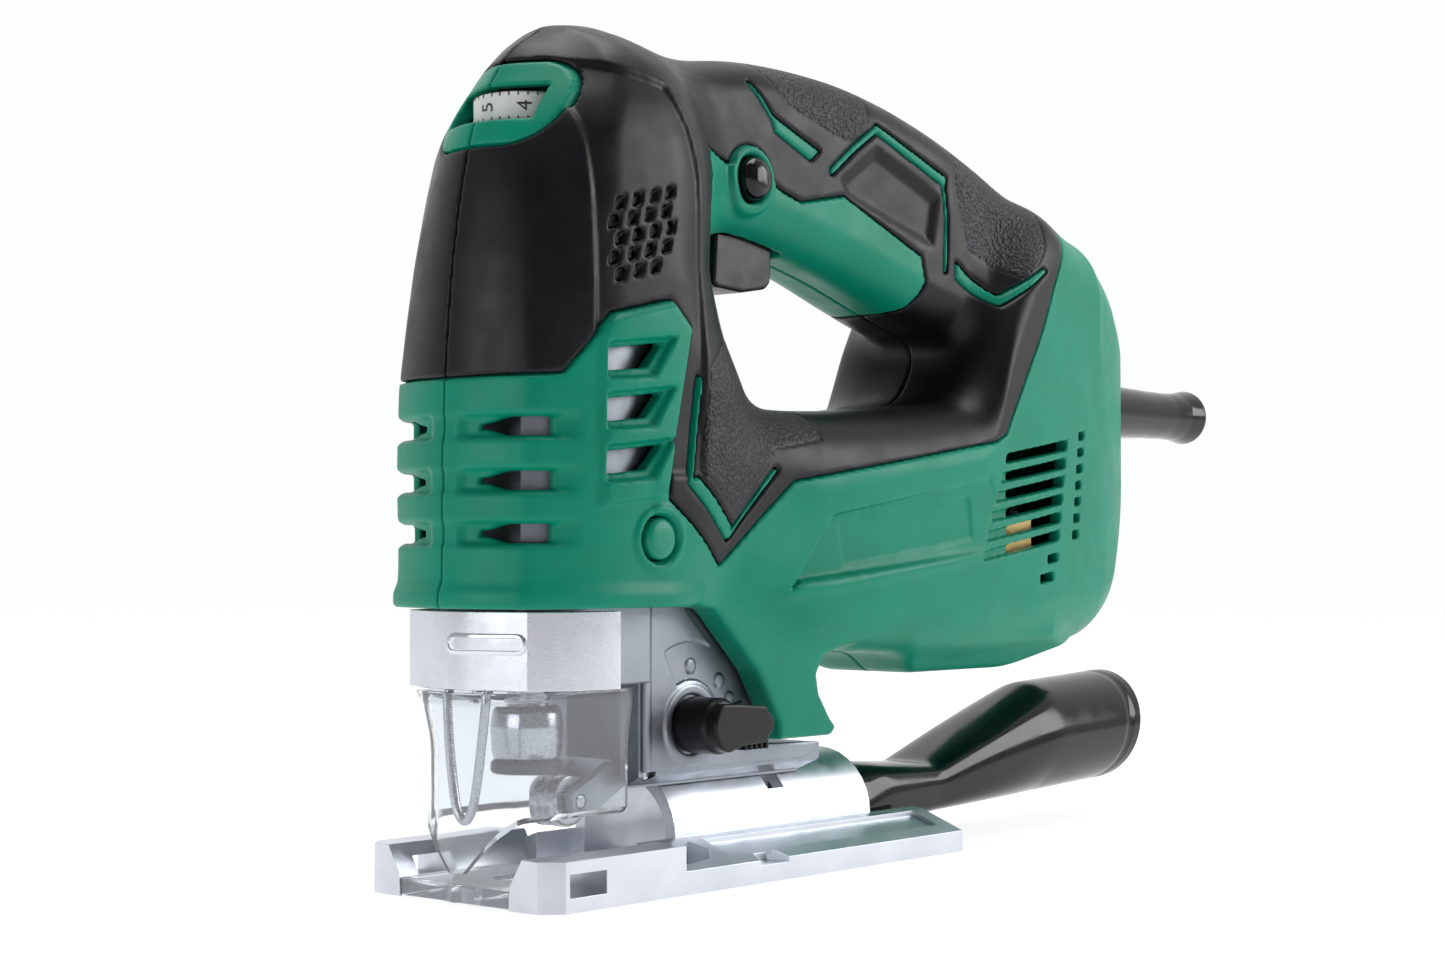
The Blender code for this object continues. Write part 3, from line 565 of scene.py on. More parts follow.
def net(values, low, cell):
    """Surface net of the zero level: vertices in millimetres and quads."""
    inside = values < 0
    corners = list(np.ndindex(2, 2, 2))
    shape = tuple(n - 1 for n in values.shape)
    total = sum(window(inside, c, shape).astype(np.uint8) for c in corners)
    cells = np.argwhere((total > 0) & (total < 8))
    number = np.full(shape, -1, np.int32)
    number[tuple(cells.T)] = np.arange(len(cells))
    place = np.zeros((len(cells), 3))
    hits = np.zeros((len(cells), 1))
    at = {c: values[tuple((cells + c).T)] for c in corners}
    for a in corners:
        for axis in range(3):
            if a[axis]:
                continue
            b = tuple(v + (k == axis) for k, v in enumerate(a))
            crossed = (at[a] < 0) != (at[b] < 0)
            t = np.where(crossed, at[a] / np.where(crossed, at[a] - at[b], 1), 0)
            point = np.array(a, float) + t[:, None] * (np.arange(3) == axis)
            place += point * crossed[:, None]
            hits += crossed[:, None]
    place = (cells + place / hits) * cell + np.array(low)
    return place, quads_of(inside, number)


def quads_of(inside, number):
    """One quad across each grid edge that changes sign, joining the cells round it."""
    quads = []
    for axis in range(3):
        first = [slice(None)] * 3
        second = [slice(None)] * 3
        first[axis], second[axis] = slice(0, -1), slice(1, None)
        change = inside[tuple(first)] != inside[tuple(second)]
        edges = np.argwhere(change)
        u, v = [k for k in range(3) if k != axis]
        limit = np.array(number.shape)
        fits = (edges[:, u] > 0) & (edges[:, v] > 0)
        fits &= (edges[:, u] < limit[u]) & (edges[:, v] < limit[v])
        edges = edges[fits]
        ring = []
        for du, dv in ((1, 1), (0, 1), (0, 0), (1, 0)):
            cell = edges.copy()
            cell[:, u] -= du
            cell[:, v] -= dv
            ring.append(number[tuple(cell.T)])
        quad = np.stack(ring, 1)
        outward = inside[tuple(edges.T)] ^ (axis == 1)
        quad[~outward] = quad[~outward][:, ::-1]
        quads.append(quad)
    return np.concatenate(quads)


def net_mesh(name, field, low, high, cell):
    points, quads = net(sample(field, low, high, cell), low, cell)
    points = (points + (FRONT_EDGE, 0, 0)) * MM
    mesh = bpy.data.meshes.new(name)
    mesh.vertices.add(len(points))
    mesh.vertices.foreach_set("co", points.ravel())
    mesh.loops.add(quads.size)
    mesh.loops.foreach_set("vertex_index", quads.ravel().astype(np.int32))
    mesh.polygons.add(len(quads))
    mesh.polygons.foreach_set("loop_start", np.arange(len(quads), dtype=np.int32) * 4)
    mesh.update(calc_edges=True)
    mesh.validate()
    return mesh


# ---------------------------------------------------------------- body form

# height, front, rear and half width of the nose
NOSE = (
    (60, -4.2, 72, 31.0), (69.4, -4.6, 74, 31.5), (78, -4.0, 76, 31.5), (100, -4.2, 90, 32.5),
    (120.7, -3.4, 91, 33), (135, -2.3, 82, 33.3), (150, -0.9, 77, 33.3), (165, 1.4, 78, 33),
    (176.5, 3.8, 78, 32), (183, 5.8, 76, 31), (190.3, 9.0, 73, 29), (199.5, 14.8, 68, 24),
    (205.5, 20.8, 56, 17), (209.2, 28.5, 47, 8), (213, 35, 41, 1),
)
# station, bottom, top and half width of the motor barrel and of the handle
BARREL = (
    (30, 72, 116, 26), (70, 66, 119, 29), (100, 57, 118.5, 32), (125, 54.8, 119.5, 33),
    (150, 53.5, 121.5, 33), (170, 52.5, 124, 32.5), (178, 52.5, 133, 32), (184, 52.5, 152, 31.5),
    (200, 52.5, 176, 30.5), (212, 52.5, 182.5, 29), (225, 53, 178.5, 27), (245, 55, 174.5, 23.5),
    (257, 60, 168.5, 20), (268, 84, 157, 15.5), (273.5, 106, 148, 12), (276, 118, 140, 9),
)
HANDLE = (
    (30, 165, 204, 17), (60, 163.5, 205.5, 16.5), (90, 163.5, 210.3, 16.5), (110, 160, 211, 16.5),
    (130, 155.5, 210, 17.5), (150, 149.5, 206.5, 18.5), (170, 144, 201, 19.5),
    (190, 140, 193.5, 20.5), (210, 136, 184.5, 21), (232, 136, 174, 19),
)
NOSE_FRONT, NOSE_REAR, NOSE_HALF = stations(NOSE, 5.0)
BARREL_LOW, BARREL_TOP, BARREL_HALF = stations(BARREL, 7.0)
HANDLE_LOW, HANDLE_TOP, HANDLE_HALF = stations(HANDLE, 14.0)
SKIRT_Z, SKIRT_END = 69.4, 76
BARREL_START, BARREL_END = 42, 274.6
HANDLE_START, HANDLE_END = 34, 236
NOSE_TOP = 210.5
STRUT_HALF = 24.6

RUBBER_AREA = [
    (-30, 120.7), (9.6, 122.8), (19.5, 134.3), (21.8, 137.3), (39.8, 141.6), (46.6, 135.5),
    (40.3, 107.7), (39.4, 94.4), (61.6, 78.3), (88.1, 99.5), (175.8, 112.4), (181.4, 114.8),
    (202.3, 145.8), (210, 160), (223, 181), (223, 230), (-30, 230),
]
BARE_PANEL = [
    (64, 150), (67.4, 182.6), (80.2, 179.8), (84, 178), (93, 179), (100.4, 175.6),
    (108.5, 173.5), (126, 177), (158.3, 163.8), (160, 157), (157, 150), (148, 145.5),
    (140, 138), (100, 150), (78, 158),
]
BEZEL = (187.9, 19.8, 10.9)  # middle height, then half sizes along Y and Z
DIAL_WINDOW = (187.8, 14.2, 4.4)
TRIGGER_HOLE = ((95, 0, 159), (14.5, 8.4, 17))  # middle and half sizes
LOCK_HOLE, GUARD_HOLE, PLUG_HOLE = 6.2, 9.3, 5.35  # radii
WALL = 4.0  # thickness of the green shell
SKIN, SKIN_BED = 1.7, 1.9  # thickness of the rubber, and depth of its bed in the shell
SHELL_GAP, SKIN_GAP = 0.10, 0.07  # half of the gap where the two sides meet
LEG_INSIDE = 17.2  # half of the space between the two diagonal legs
FRONT_GROOVES = (110.6, 98.1, 85.9)
LOCK = middle("lock_button")
PLUG = middle("side_plug")
DIAL = middle("speed_dial")

# Green bars that show through the rubber: closed outlines, and (path, half width)
GREEN_BARS = [
    [(95.6, 196.0), (116.1, 188.5), (112.6, 185.4), (97.8, 191.3)],
    [(139, 198.9), (169.6, 187.6), (169.4, 184.6), (140, 195.8)],
    [(173.9, 163.9), (173.9, 159.3), (186.9, 151.8), (205.1, 163.0), (203.3, 163.9),
     (187.4, 155.0), (175.3, 163.3)],
    [(45.6, 98.2), (49.4, 99.9), (64.8, 88.1), (63.1, 84.1)],
]
GREEN_LINES = [
    ([(88.5, 202.7), (96.5, 195.0)], 0.6),
    ([(121.0, 183.6), (130, 190.8), (140.0, 197.6)], 1.0),
    ([(168.4, 185.1), (169.9, 175.3), (169.3, 160.9)], 0.7),
    ([(50.2, 123.3), (46.9, 98.7)], 0.75),
    ([(63.6, 85.6), (81.5, 102.1)], 0.75),
]
PEBBLED = [
    [(98.7, 203.5), (90, 214), (138, 214), (136.5, 202.5), (134.9, 195.6), (127.3, 192.1),
     (103, 198.6)],
    [(173.0, 188.5), (178, 205), (214, 190), (206.5, 170.7), (196.8, 159.9), (179.3, 168.0),
     (174.6, 180.7)],
    [(53.5, 126), (50.5, 101.4), (66.4, 91.4), (79.9, 104.2), (81, 107.6), (100.4, 110.6),
     (101.6, 114), (100, 126), (80, 140), (60, 132)],
]
SIDE_FRAME = [(18.5, 135.2), (39.8, 140.6), (45.6, 135.0), (38.0, 95.2), (19.3, 92.5)]
SIDE_SLOTS = [(99.7, 0.0), (112.0, 0.6), (123.8, 1.2)]
LOGO_RECESS = [(87.5, 72.2), (103.0, 91.1), (172, 102.6), (176, 96), (166, 81.6), (91, 74.2)]
PLAQUE = [(108.4, 88.0), (160.8, 95.2), (162.0, 86.4), (110.2, 79.6)]
SCOOP = [(126, 181.5), (139.5, 191.0), (160.8, 183.0), (165.5, 180.6), (162.9, 168.2),
         (128.4, 177.8)]
REAR_SLOTS = 6
TAIL_SLOTS = 7


def nose_field(x, y, z):
    """Plan outline from straight facets, rounded where they meet."""
    front, rear, half = NOSE_FRONT(z), NOSE_REAR(z), NOSE_HALF(z)
    y = np.abs(y)
    dome = ramp(z, 178.0, 196.0)
    crisp = np.minimum(1.6 + 7.0 * dome, 0.6 * half)
    lean = np.clip((z - 120.0) / 60.0, 0, 1)  # the front face narrows towards the top
    knee = (0.72 - 0.16 * lean) * half
    face = front + 0.20 * half * (y / knee) ** 1.8 - x
    turn = (front + (0.60 - 0.12 * lean) * half, 0.93 * half)
    corner = facet(x, y, (front + 0.20 * half, knee), turn)
    cheek = facet(x, y, turn, (front + (0.95 - 0.18 * lean) * half, half))
    back = facet(x, y, (rear - 0.78 * half, half), (rear - 0.25 * half, 0.62 * half))
    heel = facet(x, y, (rear - 0.25 * half, 0.62 * half), (rear, 0.22 * half))
    soft = np.minimum(7.0, 0.6 * half)
    out = smooth_max(face * 0.96, corner, crisp)
    out = smooth_max(out, smooth_max(cheek, y - half, 5.0), 5.0)
    out = smooth_max(out, back, soft)
    out = smooth_max(out, smooth_max(heel, x - rear, soft), soft)
    return smooth_max(out, z - NOSE_TOP, 5.0)


def facet(x, y, start, end):
    """Distance to the upright plane through two plan points, outwards positive."""
    ex, ey = end[0] - start[0], end[1] - start[1]
    length = np.sqrt(ex * ex + ey * ey) + 1e-6
    return ((y - start[1]) * ex - (x - start[0]) * ey) / length


def run_field(curves, corner):
    """A rounded box section that changes along X."""
    low_of, top_of, half_of = curves

    def field(x, y, z):
        low, top, half = low_of(x), top_of(x), half_of(x)
        tall = (top - low) / 2
        r = np.minimum(corner, np.minimum(0.94 * tall, 0.9 * half))
        u = np.abs(y) - half + r
        v = np.abs(z - (low + top) / 2) - tall + r
        outside = np.sqrt(np.maximum(u, 0) ** 2 + np.maximum(v, 0) ** 2)
        return outside + np.minimum(np.maximum(u, v), 0) - r

    return field


BARREL_FIELD = run_field((BARREL_LOW, BARREL_TOP, BARREL_HALF), 17.0)
HANDLE_FIELD = run_field((HANDLE_LOW, HANDLE_TOP, HANDLE_HALF), 12.0)
STRUT = [
    (50, 80), (58, 68.9), (64, 68), (81, 51.7), (89.6, 38.5), (90, 33.9), (111, 33.9),
    (113.2, 36.0), (110.5, 38.6), (106, 45), (105, 50), (108, 54.5), (120, 60), (122, 80),
]


def motor_box(x, y, z):
    """The faceted box that hangs under the tail."""
    y = np.abs(y)
    out = smooth_max(48.0 - z, y - 27.0 + np.maximum(x - 212, 0) * 0.32, 2.0)
    out = smooth_max(out, (y - 16.0) * 0.62 + (48.5 - z) * 0.78, 1.6)
    out = smooth_max(out, (154 - x) * 0.55 + (50.0 - z) * 0.83, 1.6)
    out = smooth_max(out, (x - 214) * 0.30 + (50.8 - z) * 0.95, 1.6)
    out = smooth_max(out, (x - 238) * 0.80 + (58 - z) * 0.60, 1.6)
    return smooth_max(out, z - 76, 4.0)


def strut_field(x, y, z):
    flat = outline_distance(STRUT, x, z, 12.0)
    return smooth_max(flat, np.abs(y) - STRUT_HALF, 1.6)


def form(x, y, z):
    """The whole outside of the body, before its details."""
    nose = true_distance(nose_field, x, y, z)
    barrel = true_distance(BARREL_FIELD, x, y, z)
    barrel = np.maximum(smooth_max(barrel, x - BARREL_END, 6.0), BARREL_START - x)
    handle = true_distance(HANDLE_FIELD, x, y, z)
    handle = smooth_max(smooth_max(handle, x - HANDLE_END, 2.0), HANDLE_START - x, 2.0)
    barrel = smooth_min(barrel, motor_box(x, y, z), 2.0)
    out = smooth_min(smooth_min(nose, barrel, 9.0), handle, 11.0)
    out = smooth_max(out, skirt_cut(x, z), 1.2)
    return smooth_min(out, strut_field(x, y, z), 4.0)


def skirt_cut(x, z):
    """The level lower edge under the nose; nothing is cut behind it."""
    return np.where(x < SKIRT_END, SKIRT_Z - z, -20.0)


# ---------------------------------------------------------------- surface details


def front_ribs(x, y, z):
    """Four bulging bands round the green front, with grooves between them."""
    side = np.abs(y)
    wraps = 1 - ramp(x, 8.0, 15.0)
    level = 0.0
    for groove in FRONT_GROOVES:
        across = np.abs(z - groove)
        level = level + 1.9 * (1 - ramp(across, 1.6, 3.6))
    pillar = 1 - 0.75 * (1 - ramp(side, 3.5, 6.5))
    return level * wraps * pillar * ramp(z, 76, 80)


def lip(x, z):
    """The skirt flares a little at its lower edge."""
    return -0.9 * (1 - ramp(z, 71.5, 75.0)) * (1 - ramp(x, 50, 60))


def front_slots(x, y, z):
    """Wedge-shaped slots: thin beside the pillar, tall at the side."""
    side = np.abs(y)
    out = far_off(x)
    for height in FRONT_GROOVES:
        half = 0.7 + 1.5 * ramp(side, 10.0, 17.0)
        one = np.maximum(np.abs(z - height) - half, np.abs(side - 17.2) - 8.2)
        out = np.minimum(out, one)
    return np.maximum(out, x - 9.0)


def side_slots(x, z):
    """The three openings under the sloping roofs of the side panel."""
    out = far_off(x)
    for base, shift in SIDE_SLOTS:
        top = base + 5.3
        outline = [(20.5, base), (32.2, base + 1.3), (37.6 - shift * 0.2, top + 2.2), (20.5, top)]
        out = np.minimum(out, outline_distance(outline, x, z))
    return out


def side_panel(x, z):
    """Raised frame with sloping roofs above the three slots."""
    rise = -1.3 * step_of(outline_distance(SIDE_FRAME, x, z), 1.6)
    roofs = 0.0
    for base, _ in SIDE_SLOTS:
        outline = [(19.8, base - 1.8), (33.5, base - 0.6), (40.0, base + 9.0), (19.8, base + 6.6)]
        roofs = roofs + 1.9 * step_of(outline_distance(outline, x, z), 1.0)
    return rise + roofs


def plug_recess(x, z):
    """A seat for the side plug with a raised ring round it."""
    away = from_axis(PLUG, x, z)
    return 0.8 * step_of(away - 5.9, 0.6) - 0.7 * step_of(np.abs(away - 7.0) - 0.9, 0.8)


def logo_recess(x, z):
    """A long recess that is deepest at its front end, with a blank plaque in it."""
    flat = step_of(outline_distance(LOGO_RECESS, x, z), 0.9)
    depth = 2.1 * (1 - ramp(x, 92, 176)) + 0.3
    plaque = 0.5 * step_of(outline_distance(PLAQUE, x, z) - 1.5, 0.5)
    ledge_z = 72.0 + (x - 88) * 0.118
    below = (1 - ramp(x, 150, 182)) * ramp(x, 80, 92)
    band = 1.1 * np.exp(-(((z - ledge_z + 0.6) / 2.0) ** 2)) * below
    return flat * depth + plaque - band


def rear_vents(x, z):
    """(recess depth, through-cut distance) of the louvres at the tail."""
    recess = 0.0
    cut = far_off(x)
    slope = 0.135
    for i in range(REAR_SLOTS):
        left = 180.6 - 2.45 * i
        low = 107.0 - 5.15 * i
        right = 217.6 - 1.15 * i
        start, end = (low + slope * (at - 184) for at in (left, right))
        outline = [(left, start), (right, end), (right + 0.4, end + 3.0), (left + 0.8, start + 2.7)]
        flat = outline_distance(outline, x, z)
        recess = recess + 1.6 * step_of(flat, 0.6)
        cut = np.minimum(cut, np.maximum(flat, 183.4 - x))
    for low_x, high_x, height in ((204.6, 211.4, 79.8), (200.2, 208.4, 74.2)):
        mid, half = (low_x + high_x) / 2, (high_x - low_x) / 2
        cut = np.minimum(cut, slant_slot(x, z, mid, height, half, 1.3, 0.12))
    for i in range(TAIL_SLOTS):
        mid, height = 228.3 - 0.8 * i, 116.2 - 4.9 * i
        cut = np.minimum(cut, slant_slot(x, z, mid, height, 2.1, 1.25, 0.13))
    return recess, cut


def side_band(x, z):
    """The bulge between the rubber and the logo recess."""
    middle_z = 98.0 + (x - 100) * 0.135
    bulge = np.exp(-(((z - middle_z) / 5.0) ** 2)) * ramp(x, 84, 100) * (1 - ramp(x, 168, 184))
    return -0.9 * bulge


def lock_boss(x, y, z):
    """The raised ring round the lock button, on the left only."""
    away = np.sqrt(((x - LOCK.x) / 0.98) ** 2 + (z - LOCK.z) ** 2)
    ring = step_of(np.abs(away - 7.9) - 1.5, 1.6)
    return -1.5 * ring * (y < 0)


def side_recess(x, y, z):
    """Flat inset on the rubber side of the nose, with a small grille of pockets."""
    outline = [(17.5, 100), (17.5, 199), (44, 194), (49, 184), (51.5, 172), (51.5, 100)]
    flat = 1.0 * step_of(outline_distance(outline, x, z), 2.2)
    pockets = 0.0
    for row in range(5):
        count = 3 if row == 4 else 4
        for i in range(count):
            px = 24.6 + 5.3 * i - (1.7 if row % 2 else 0.0)
            pz = 163.4 - 4.2 * row + 0.25 * (px - 24.6)
            across = np.abs(x - px - (z - pz) * 0.25) - 1.15
            one = np.maximum(across, np.abs(z - pz - 0.22 * (x - px)) - 1.45)
            pockets = pockets + 1.5 * step_of(one, 0.5)
    return flat + pockets * (np.abs(y) > 24)


def handle_scoop(x, z):
    """The shallow hollow in the side of the handle."""
    return 1.5 * step_of(outline_distance(SCOOP, x, z), 4.5)


def bar_distance(x, z):
    """Distance to the nearest green bar or line."""
    out = far_off(x)
    for outline in GREEN_BARS:
        out = np.minimum(out, outline_distance(outline, x, z))
    for path, half in GREEN_LINES:
        out = np.minimum(out, ribbon_distance(path, half, x, z))
    return out


def bezel_distance(x, y, z):
    """Capsule of the dial bezel, seen from the front."""
    mid, half_y, half_z = BEZEL
    across = np.maximum(np.abs(y) - (half_y - half_z), 0)
    flat = np.sqrt(across**2 + (z - mid) ** 2) - half_z
    return np.maximum(flat, x - 26)


def rubber_distance(x, y, z):
    """Below zero where the rubber covers the shell."""
    side = np.abs(y)
    out = outline_distance(RUBBER_AREA, x, z, 40.0)
    ring = from_axis(LOCK, x, z) - 8.6
    bare = np.minimum(outline_distance(BARE_PANEL, x, z) - 0.5, np.maximum(ring, y))
    out = smooth_max(out, -bare, 0.5)
    out = np.maximum(out, -bar_distance(x, z) * (side > 7) - 9.0 * (side <= 7))
    return np.maximum(out, -bezel_distance(x, y, z))


def pad_groove(x, z):
    """Fine groove round each pebbled pad."""
    out = 0.0
    for outline in PEBBLED:
        out = out + 0.35 * step_of(np.abs(outline_distance(outline, x, z)) - 0.25, 0.5)
    return out


def openings(x, y, z):
    """Windows through the shell: trigger, lock button, dial, cord guard and plug."""
    trigger = block_distance(x, y, z, *TRIGGER_HOLE)
    lock = np.maximum(from_axis(LOCK, x, z) - LOCK_HOLE, np.abs(y + 20) - 11)
    mid, half_y, half_z = DIAL_WINDOW
    dial = np.maximum(np.abs(y) - half_y, np.abs(z - mid) - half_z)
    dial = np.maximum(dial, np.abs(x - 12) - 27)
    cord = middle("cord_guard")
    guard = np.maximum(np.sqrt(y**2 + (z - cord.z) ** 2) - GUARD_HOLE, 262 - x)
    plug = np.maximum(from_axis(PLUG, x, z) - PLUG_HOLE, 24 - np.abs(y))
    out = np.minimum(np.minimum(trigger, lock), np.minimum(dial, guard))
    return np.minimum(out, plug)


def shell_field(side):
    """One green clamshell half: side is -1 for the left, 1 for the right."""

    def field(x, y, z):
        outer = form(x, y, z)
        recess, rear_cut = rear_vents(x, z)
        on_side = (np.abs(y) > 14).astype(np.float32)
        covered = rubber_distance(x, y, z)
        green = outer + front_ribs(x, y, z) + lip(x, z)
        green = green + on_side * (side_panel(x, z) + plug_recess(x, z) + recess)
        green = green + on_side * (logo_recess(x, z) + side_band(x, z))
        green = green + lock_boss(x, y, z)
        green = green + (SKIN_BED + skin_offset(x, y, z)) * step_of(covered - 0.15, 0.5)
        inner = np.maximum(outer + WALL, -strut_solid(x, y, z))
        cuts = np.maximum(front_slots(x, y, z), x - 60)
        cuts = np.minimum(cuts, np.maximum(rear_cut, 16 - np.abs(y)))
        cuts = np.minimum(cuts, np.maximum(side_slots(x, z), 18 - np.abs(y)))
        cuts = np.minimum(cuts, openings(x, y, z))
        cuts = np.minimum(cuts, leg_room(x, y, z))
        green = smooth_max(green, -np.minimum(inner, 9), 0.4)
        green = smooth_max(green, -cuts, 0.5)
        return smooth_max(green, SHELL_GAP - y * side, 0.25)

    return field


def strut_solid(x, y, z):
    """Keeps the diagonal leg solid outside the gear case."""
    return np.maximum(strut_field(x, y, z), LEG_INSIDE - np.abs(y))


def leg_room(x, y, z):
    """Space for the gear case leg between the two diagonal legs, and for the clamp in front."""
    inside = np.abs(y) - LEG_INSIDE
    case = np.maximum(inside, np.maximum(np.abs(x - 76) - 50, z - 73))
    clamp = np.maximum(np.abs(y) - 16.0, np.maximum(np.abs(x - 24) - 13, z - 82))
    return np.minimum(case, clamp)


def skin_offset(x, y, z):
    """How far the rubber lies below the plain form."""
    on_side = (np.abs(y) > 7).astype(np.float32)
    return on_side * (side_recess(x, y, z) + handle_scoop(x, z))


def rubber_field(side):
    """The rubber skin over one half of the shell."""

    def field(x, y, z):
        outer = form(x, y, z)
        on_side = (np.abs(y) > 7).astype(np.float32)
        sunk = skin_offset(x, y, z)
        skin = outer + sunk + pad_groove(x, z) * on_side
        area = rubber_distance(x, y, z) + 0.12
        skin = smooth_max(skin, area, 0.9)
        skin = np.maximum(skin, -(outer + SKIN + sunk))
        skin = smooth_max(skin, -openings(x, y, z), 0.5)
        return smooth_max(skin, SKIN_GAP - y * side, 0.2)

    return field


def one_side(side, near, far):
    """Lowest and highest Y of what lies from near to far on one side."""
    return (-far, -near) if side < 0 else (near, far)


def make_shells(looks):
    for side, word in SIDES:
        low_y, high_y = one_side(side, -1.5, 36)
        high = (278, high_y, 213)
        mesh = net_mesh(f"shell_{word}", shell_field(side), (-10, low_y, 32), high, CELL)
        finish_piece(mesh, "housing", looks["green"], "green_shell", [f"housing_{word}"])
        mesh = net_mesh(f"overmould_{word}", rubber_field(side), (-10, low_y, 74), high, CELL)
        both = [looks["rubber"], looks["pebbled"]]
        mark_pads(finish_piece(mesh, "housing", both, "rubber_grip", [f"grip_{word}"]))


def mark_pads(obj):
    """Gives the pebbled material to the faces inside the pad outlines."""
    mesh = obj.data
    centres = np.zeros(len(mesh.polygons) * 3, np.float32)
    mesh.polygons.foreach_get("center", centres)
    centres = centres.reshape(-1, 3) / MM
    x, y, z = centres[:, 0] - FRONT_EDGE, centres[:, 1], centres[:, 2]
    inside = np.zeros(len(x), bool)
    for outline in PEBBLED:
        inside |= (outline_distance(outline, x, z) < -0.3) & (np.abs(y) > 7 * (z < 150))
    mesh.polygons.foreach_set("material_index", inside.astype(np.int32))


# ---------------------------------------------------------------- base and front pieces


def make_base(looks):
    """The cast plate, with the channel and the notch in the top of each wing."""
    bm, notches = bmesh.new(), bmesh.new()
    for side in (-1, 1):
        channel = [(19.3, 9.2), (27.6, 6.0), (28.6, 14), (19.3, 14)]
        prism("X", [(side * y, z) for y, z in channel], 66, 153, bm)
        notch = [(74.5, side * 26.4), (82.0, side * 26.4), (84.5, side * 34), (72.0, side * 34)]
        prism("Z", notch, 4.4, 12, notches)
        lobe = [(45.9, side * 25), (60, side * 19.5), (62.5, side * 24), (58, side * 28.2),
                (49, side * 29.5)]
        prism("Z", lobe, 5.0, 14, bm)
    cutters = (cutter_of("wing_channels", bm), cutter_of("wing_notches", notches))
    from_cad("base_plate", looks["alloy"], "base_alloy", 0.45, 3, cutters=cutters)
    from_cad("splinter_insert", looks["clear"], "clear_plastic", 0.3, 2)


def make_cover(looks):
    """Clear chip cover: a thin folded wall that flares towards its rim."""
    low, high = reach("chip_cover")
    rings = []
    for i in range(25):
        share = i / 24
        z = low.z + (high.z - low.z) * share
        flare = 1.9 * ramp(share, 0.55, 1.0) ** 2
        rim = 0.5 * (share > 0.97)
        outer = cover_outline(low.x - 0.6 * flare, high.x, high.y + flare, -rim)
        inner = cover_outline(low.x - 0.6 * flare, high.x, high.y + flare, 1.5)
        rings.append([(x, y, z) for x, y in outer + inner[::-1]])
    bm = ring_faces(bmesh.new(), rings)
    obj = fine("chip_cover", bm, looks["clear"], "clear_plastic", 40)
    cut_by(obj, bevel_room())
    bevelled(obj, 0.25, 2, 40)


def cut_by(obj, cutter):
    modifier = obj.modifiers.new("Cut", "BOOLEAN")
    modifier.operation = "DIFFERENCE"
    modifier.object = cutter
    modifier.solver = "EXACT"


def cover_outline(front, rear, half, inset):
    """Half-open plan outline of the cover wall, from the left rear round to the right rear."""
    half, front = half - inset, front + inset
    left = [(rear, -half), (front + 9.0, -half)]
    for angle in (20, 45, 70, 90):
        turn = radians(angle)
        left.append((front + 9.0 - 4.6 * sin(turn), -half + 1.6 * (1 - cos(turn))))
    left += [(front + 2.2, -half + 3.6), (front + 1.0, -half * 0.5)]
    return left + [(front, 0.0)] + [(x, -y) for x, y in reversed(left)]


def bevel_room():
    """The wedge that the tilting base sweeps, cut from the cover's lower edge."""
    under = [(-30, 35.5), (-2.3, 6.8), (2.3, 6.8), (30, 35.5), (30, -5), (-30, -5)]
    return cutter_of("bevel_room", prism("X", under, -10, 60))


def cutter_of(name, bm):
    """A hidden helper that a Boolean takes away from a piece."""
    obj = object_of(name, frame_mesh(name, bm))
    obj.hide_render = True
    obj.display_type = "WIRE"
    obj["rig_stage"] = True
    return obj


def make_wire(looks):
    """The bent wire that guards the blade clamp at the front."""
    low, high = reach("wire_guard")
    leg = high.y - 1.1
    points = [(8.6, -leg, high.z - 0.6), (5.2, -leg, 54), (4.5, -leg, 46), (4.2, -leg * 0.55, 24),
              (4.2, -leg * 0.2, low.z + 1.2)]
    path = points + [(x, -y, z) for x, y, z in reversed(points)]
    wire = swept(path, 1.1)
    fine("wire_guard", wire, looks["steel"], "steel", 0)


LEVER_BEND = (Vector((-0.6, 1.5)), Vector((-0.6, -6.0)), Vector((4.1, -19.6)))


def on_strip(along, lift):
    """Plan point on the outside of the lever strip, at a distance along its near half."""
    start, bend, end = LEVER_BEND
    first = (bend - start).length
    ways = ((bend - start).normalized(), (end - bend).normalized())
    share = min(1.0, max(0.0, (along - first) / 2.0 + 0.5))
    way = (ways[0] * (1 - share) + ways[1] * share).normalized()
    point = start + ways[0] * along if along < first else bend + ways[1] * (along - first)
    return point + Vector((way.y, -way.x)) * lift


def make_lever(looks):
    """The blade lever, with a raised pad that follows its bend."""
    from_cad("blade_lever", looks["lever"], "satin_lever", 0.6, 3)
    low, high = reach("blade_lever")
    middle_z = (low.z + high.z) / 2 + 1.6
    half = sum((b - a).length for a, b in zip(LEVER_BEND, LEVER_BEND[1:])) / 2
    rings = []
    for lift, grow in ((-0.3, 0.5), (0.3, 0.35), (0.5, 0.0), (0.5, -0.55), (0.2, -0.7)):
        ring = []
        for u, w in pill(half + grow, 2.1 + grow, 10):
            plan = on_strip(half + u, lift)
            ring.append((plan.x, plan.y, middle_z + w))
        rings.append(ring)
    piece("lever_pad", ring_faces(bmesh.new(), rings), "lever", looks["lever"], "satin_lever")


def pill(half_u, half_v, count=8):
    """A rounded bar outline centred on zero, with points along its straight sides."""
    straight = half_u - half_v
    right = arc(straight, 0, half_v, -90, 180, count)
    top = [(straight - 2 * straight * i / 12, half_v) for i in range(1, 12)]
    half = right + top
    return half + [(-u, -v) for u, v in half]


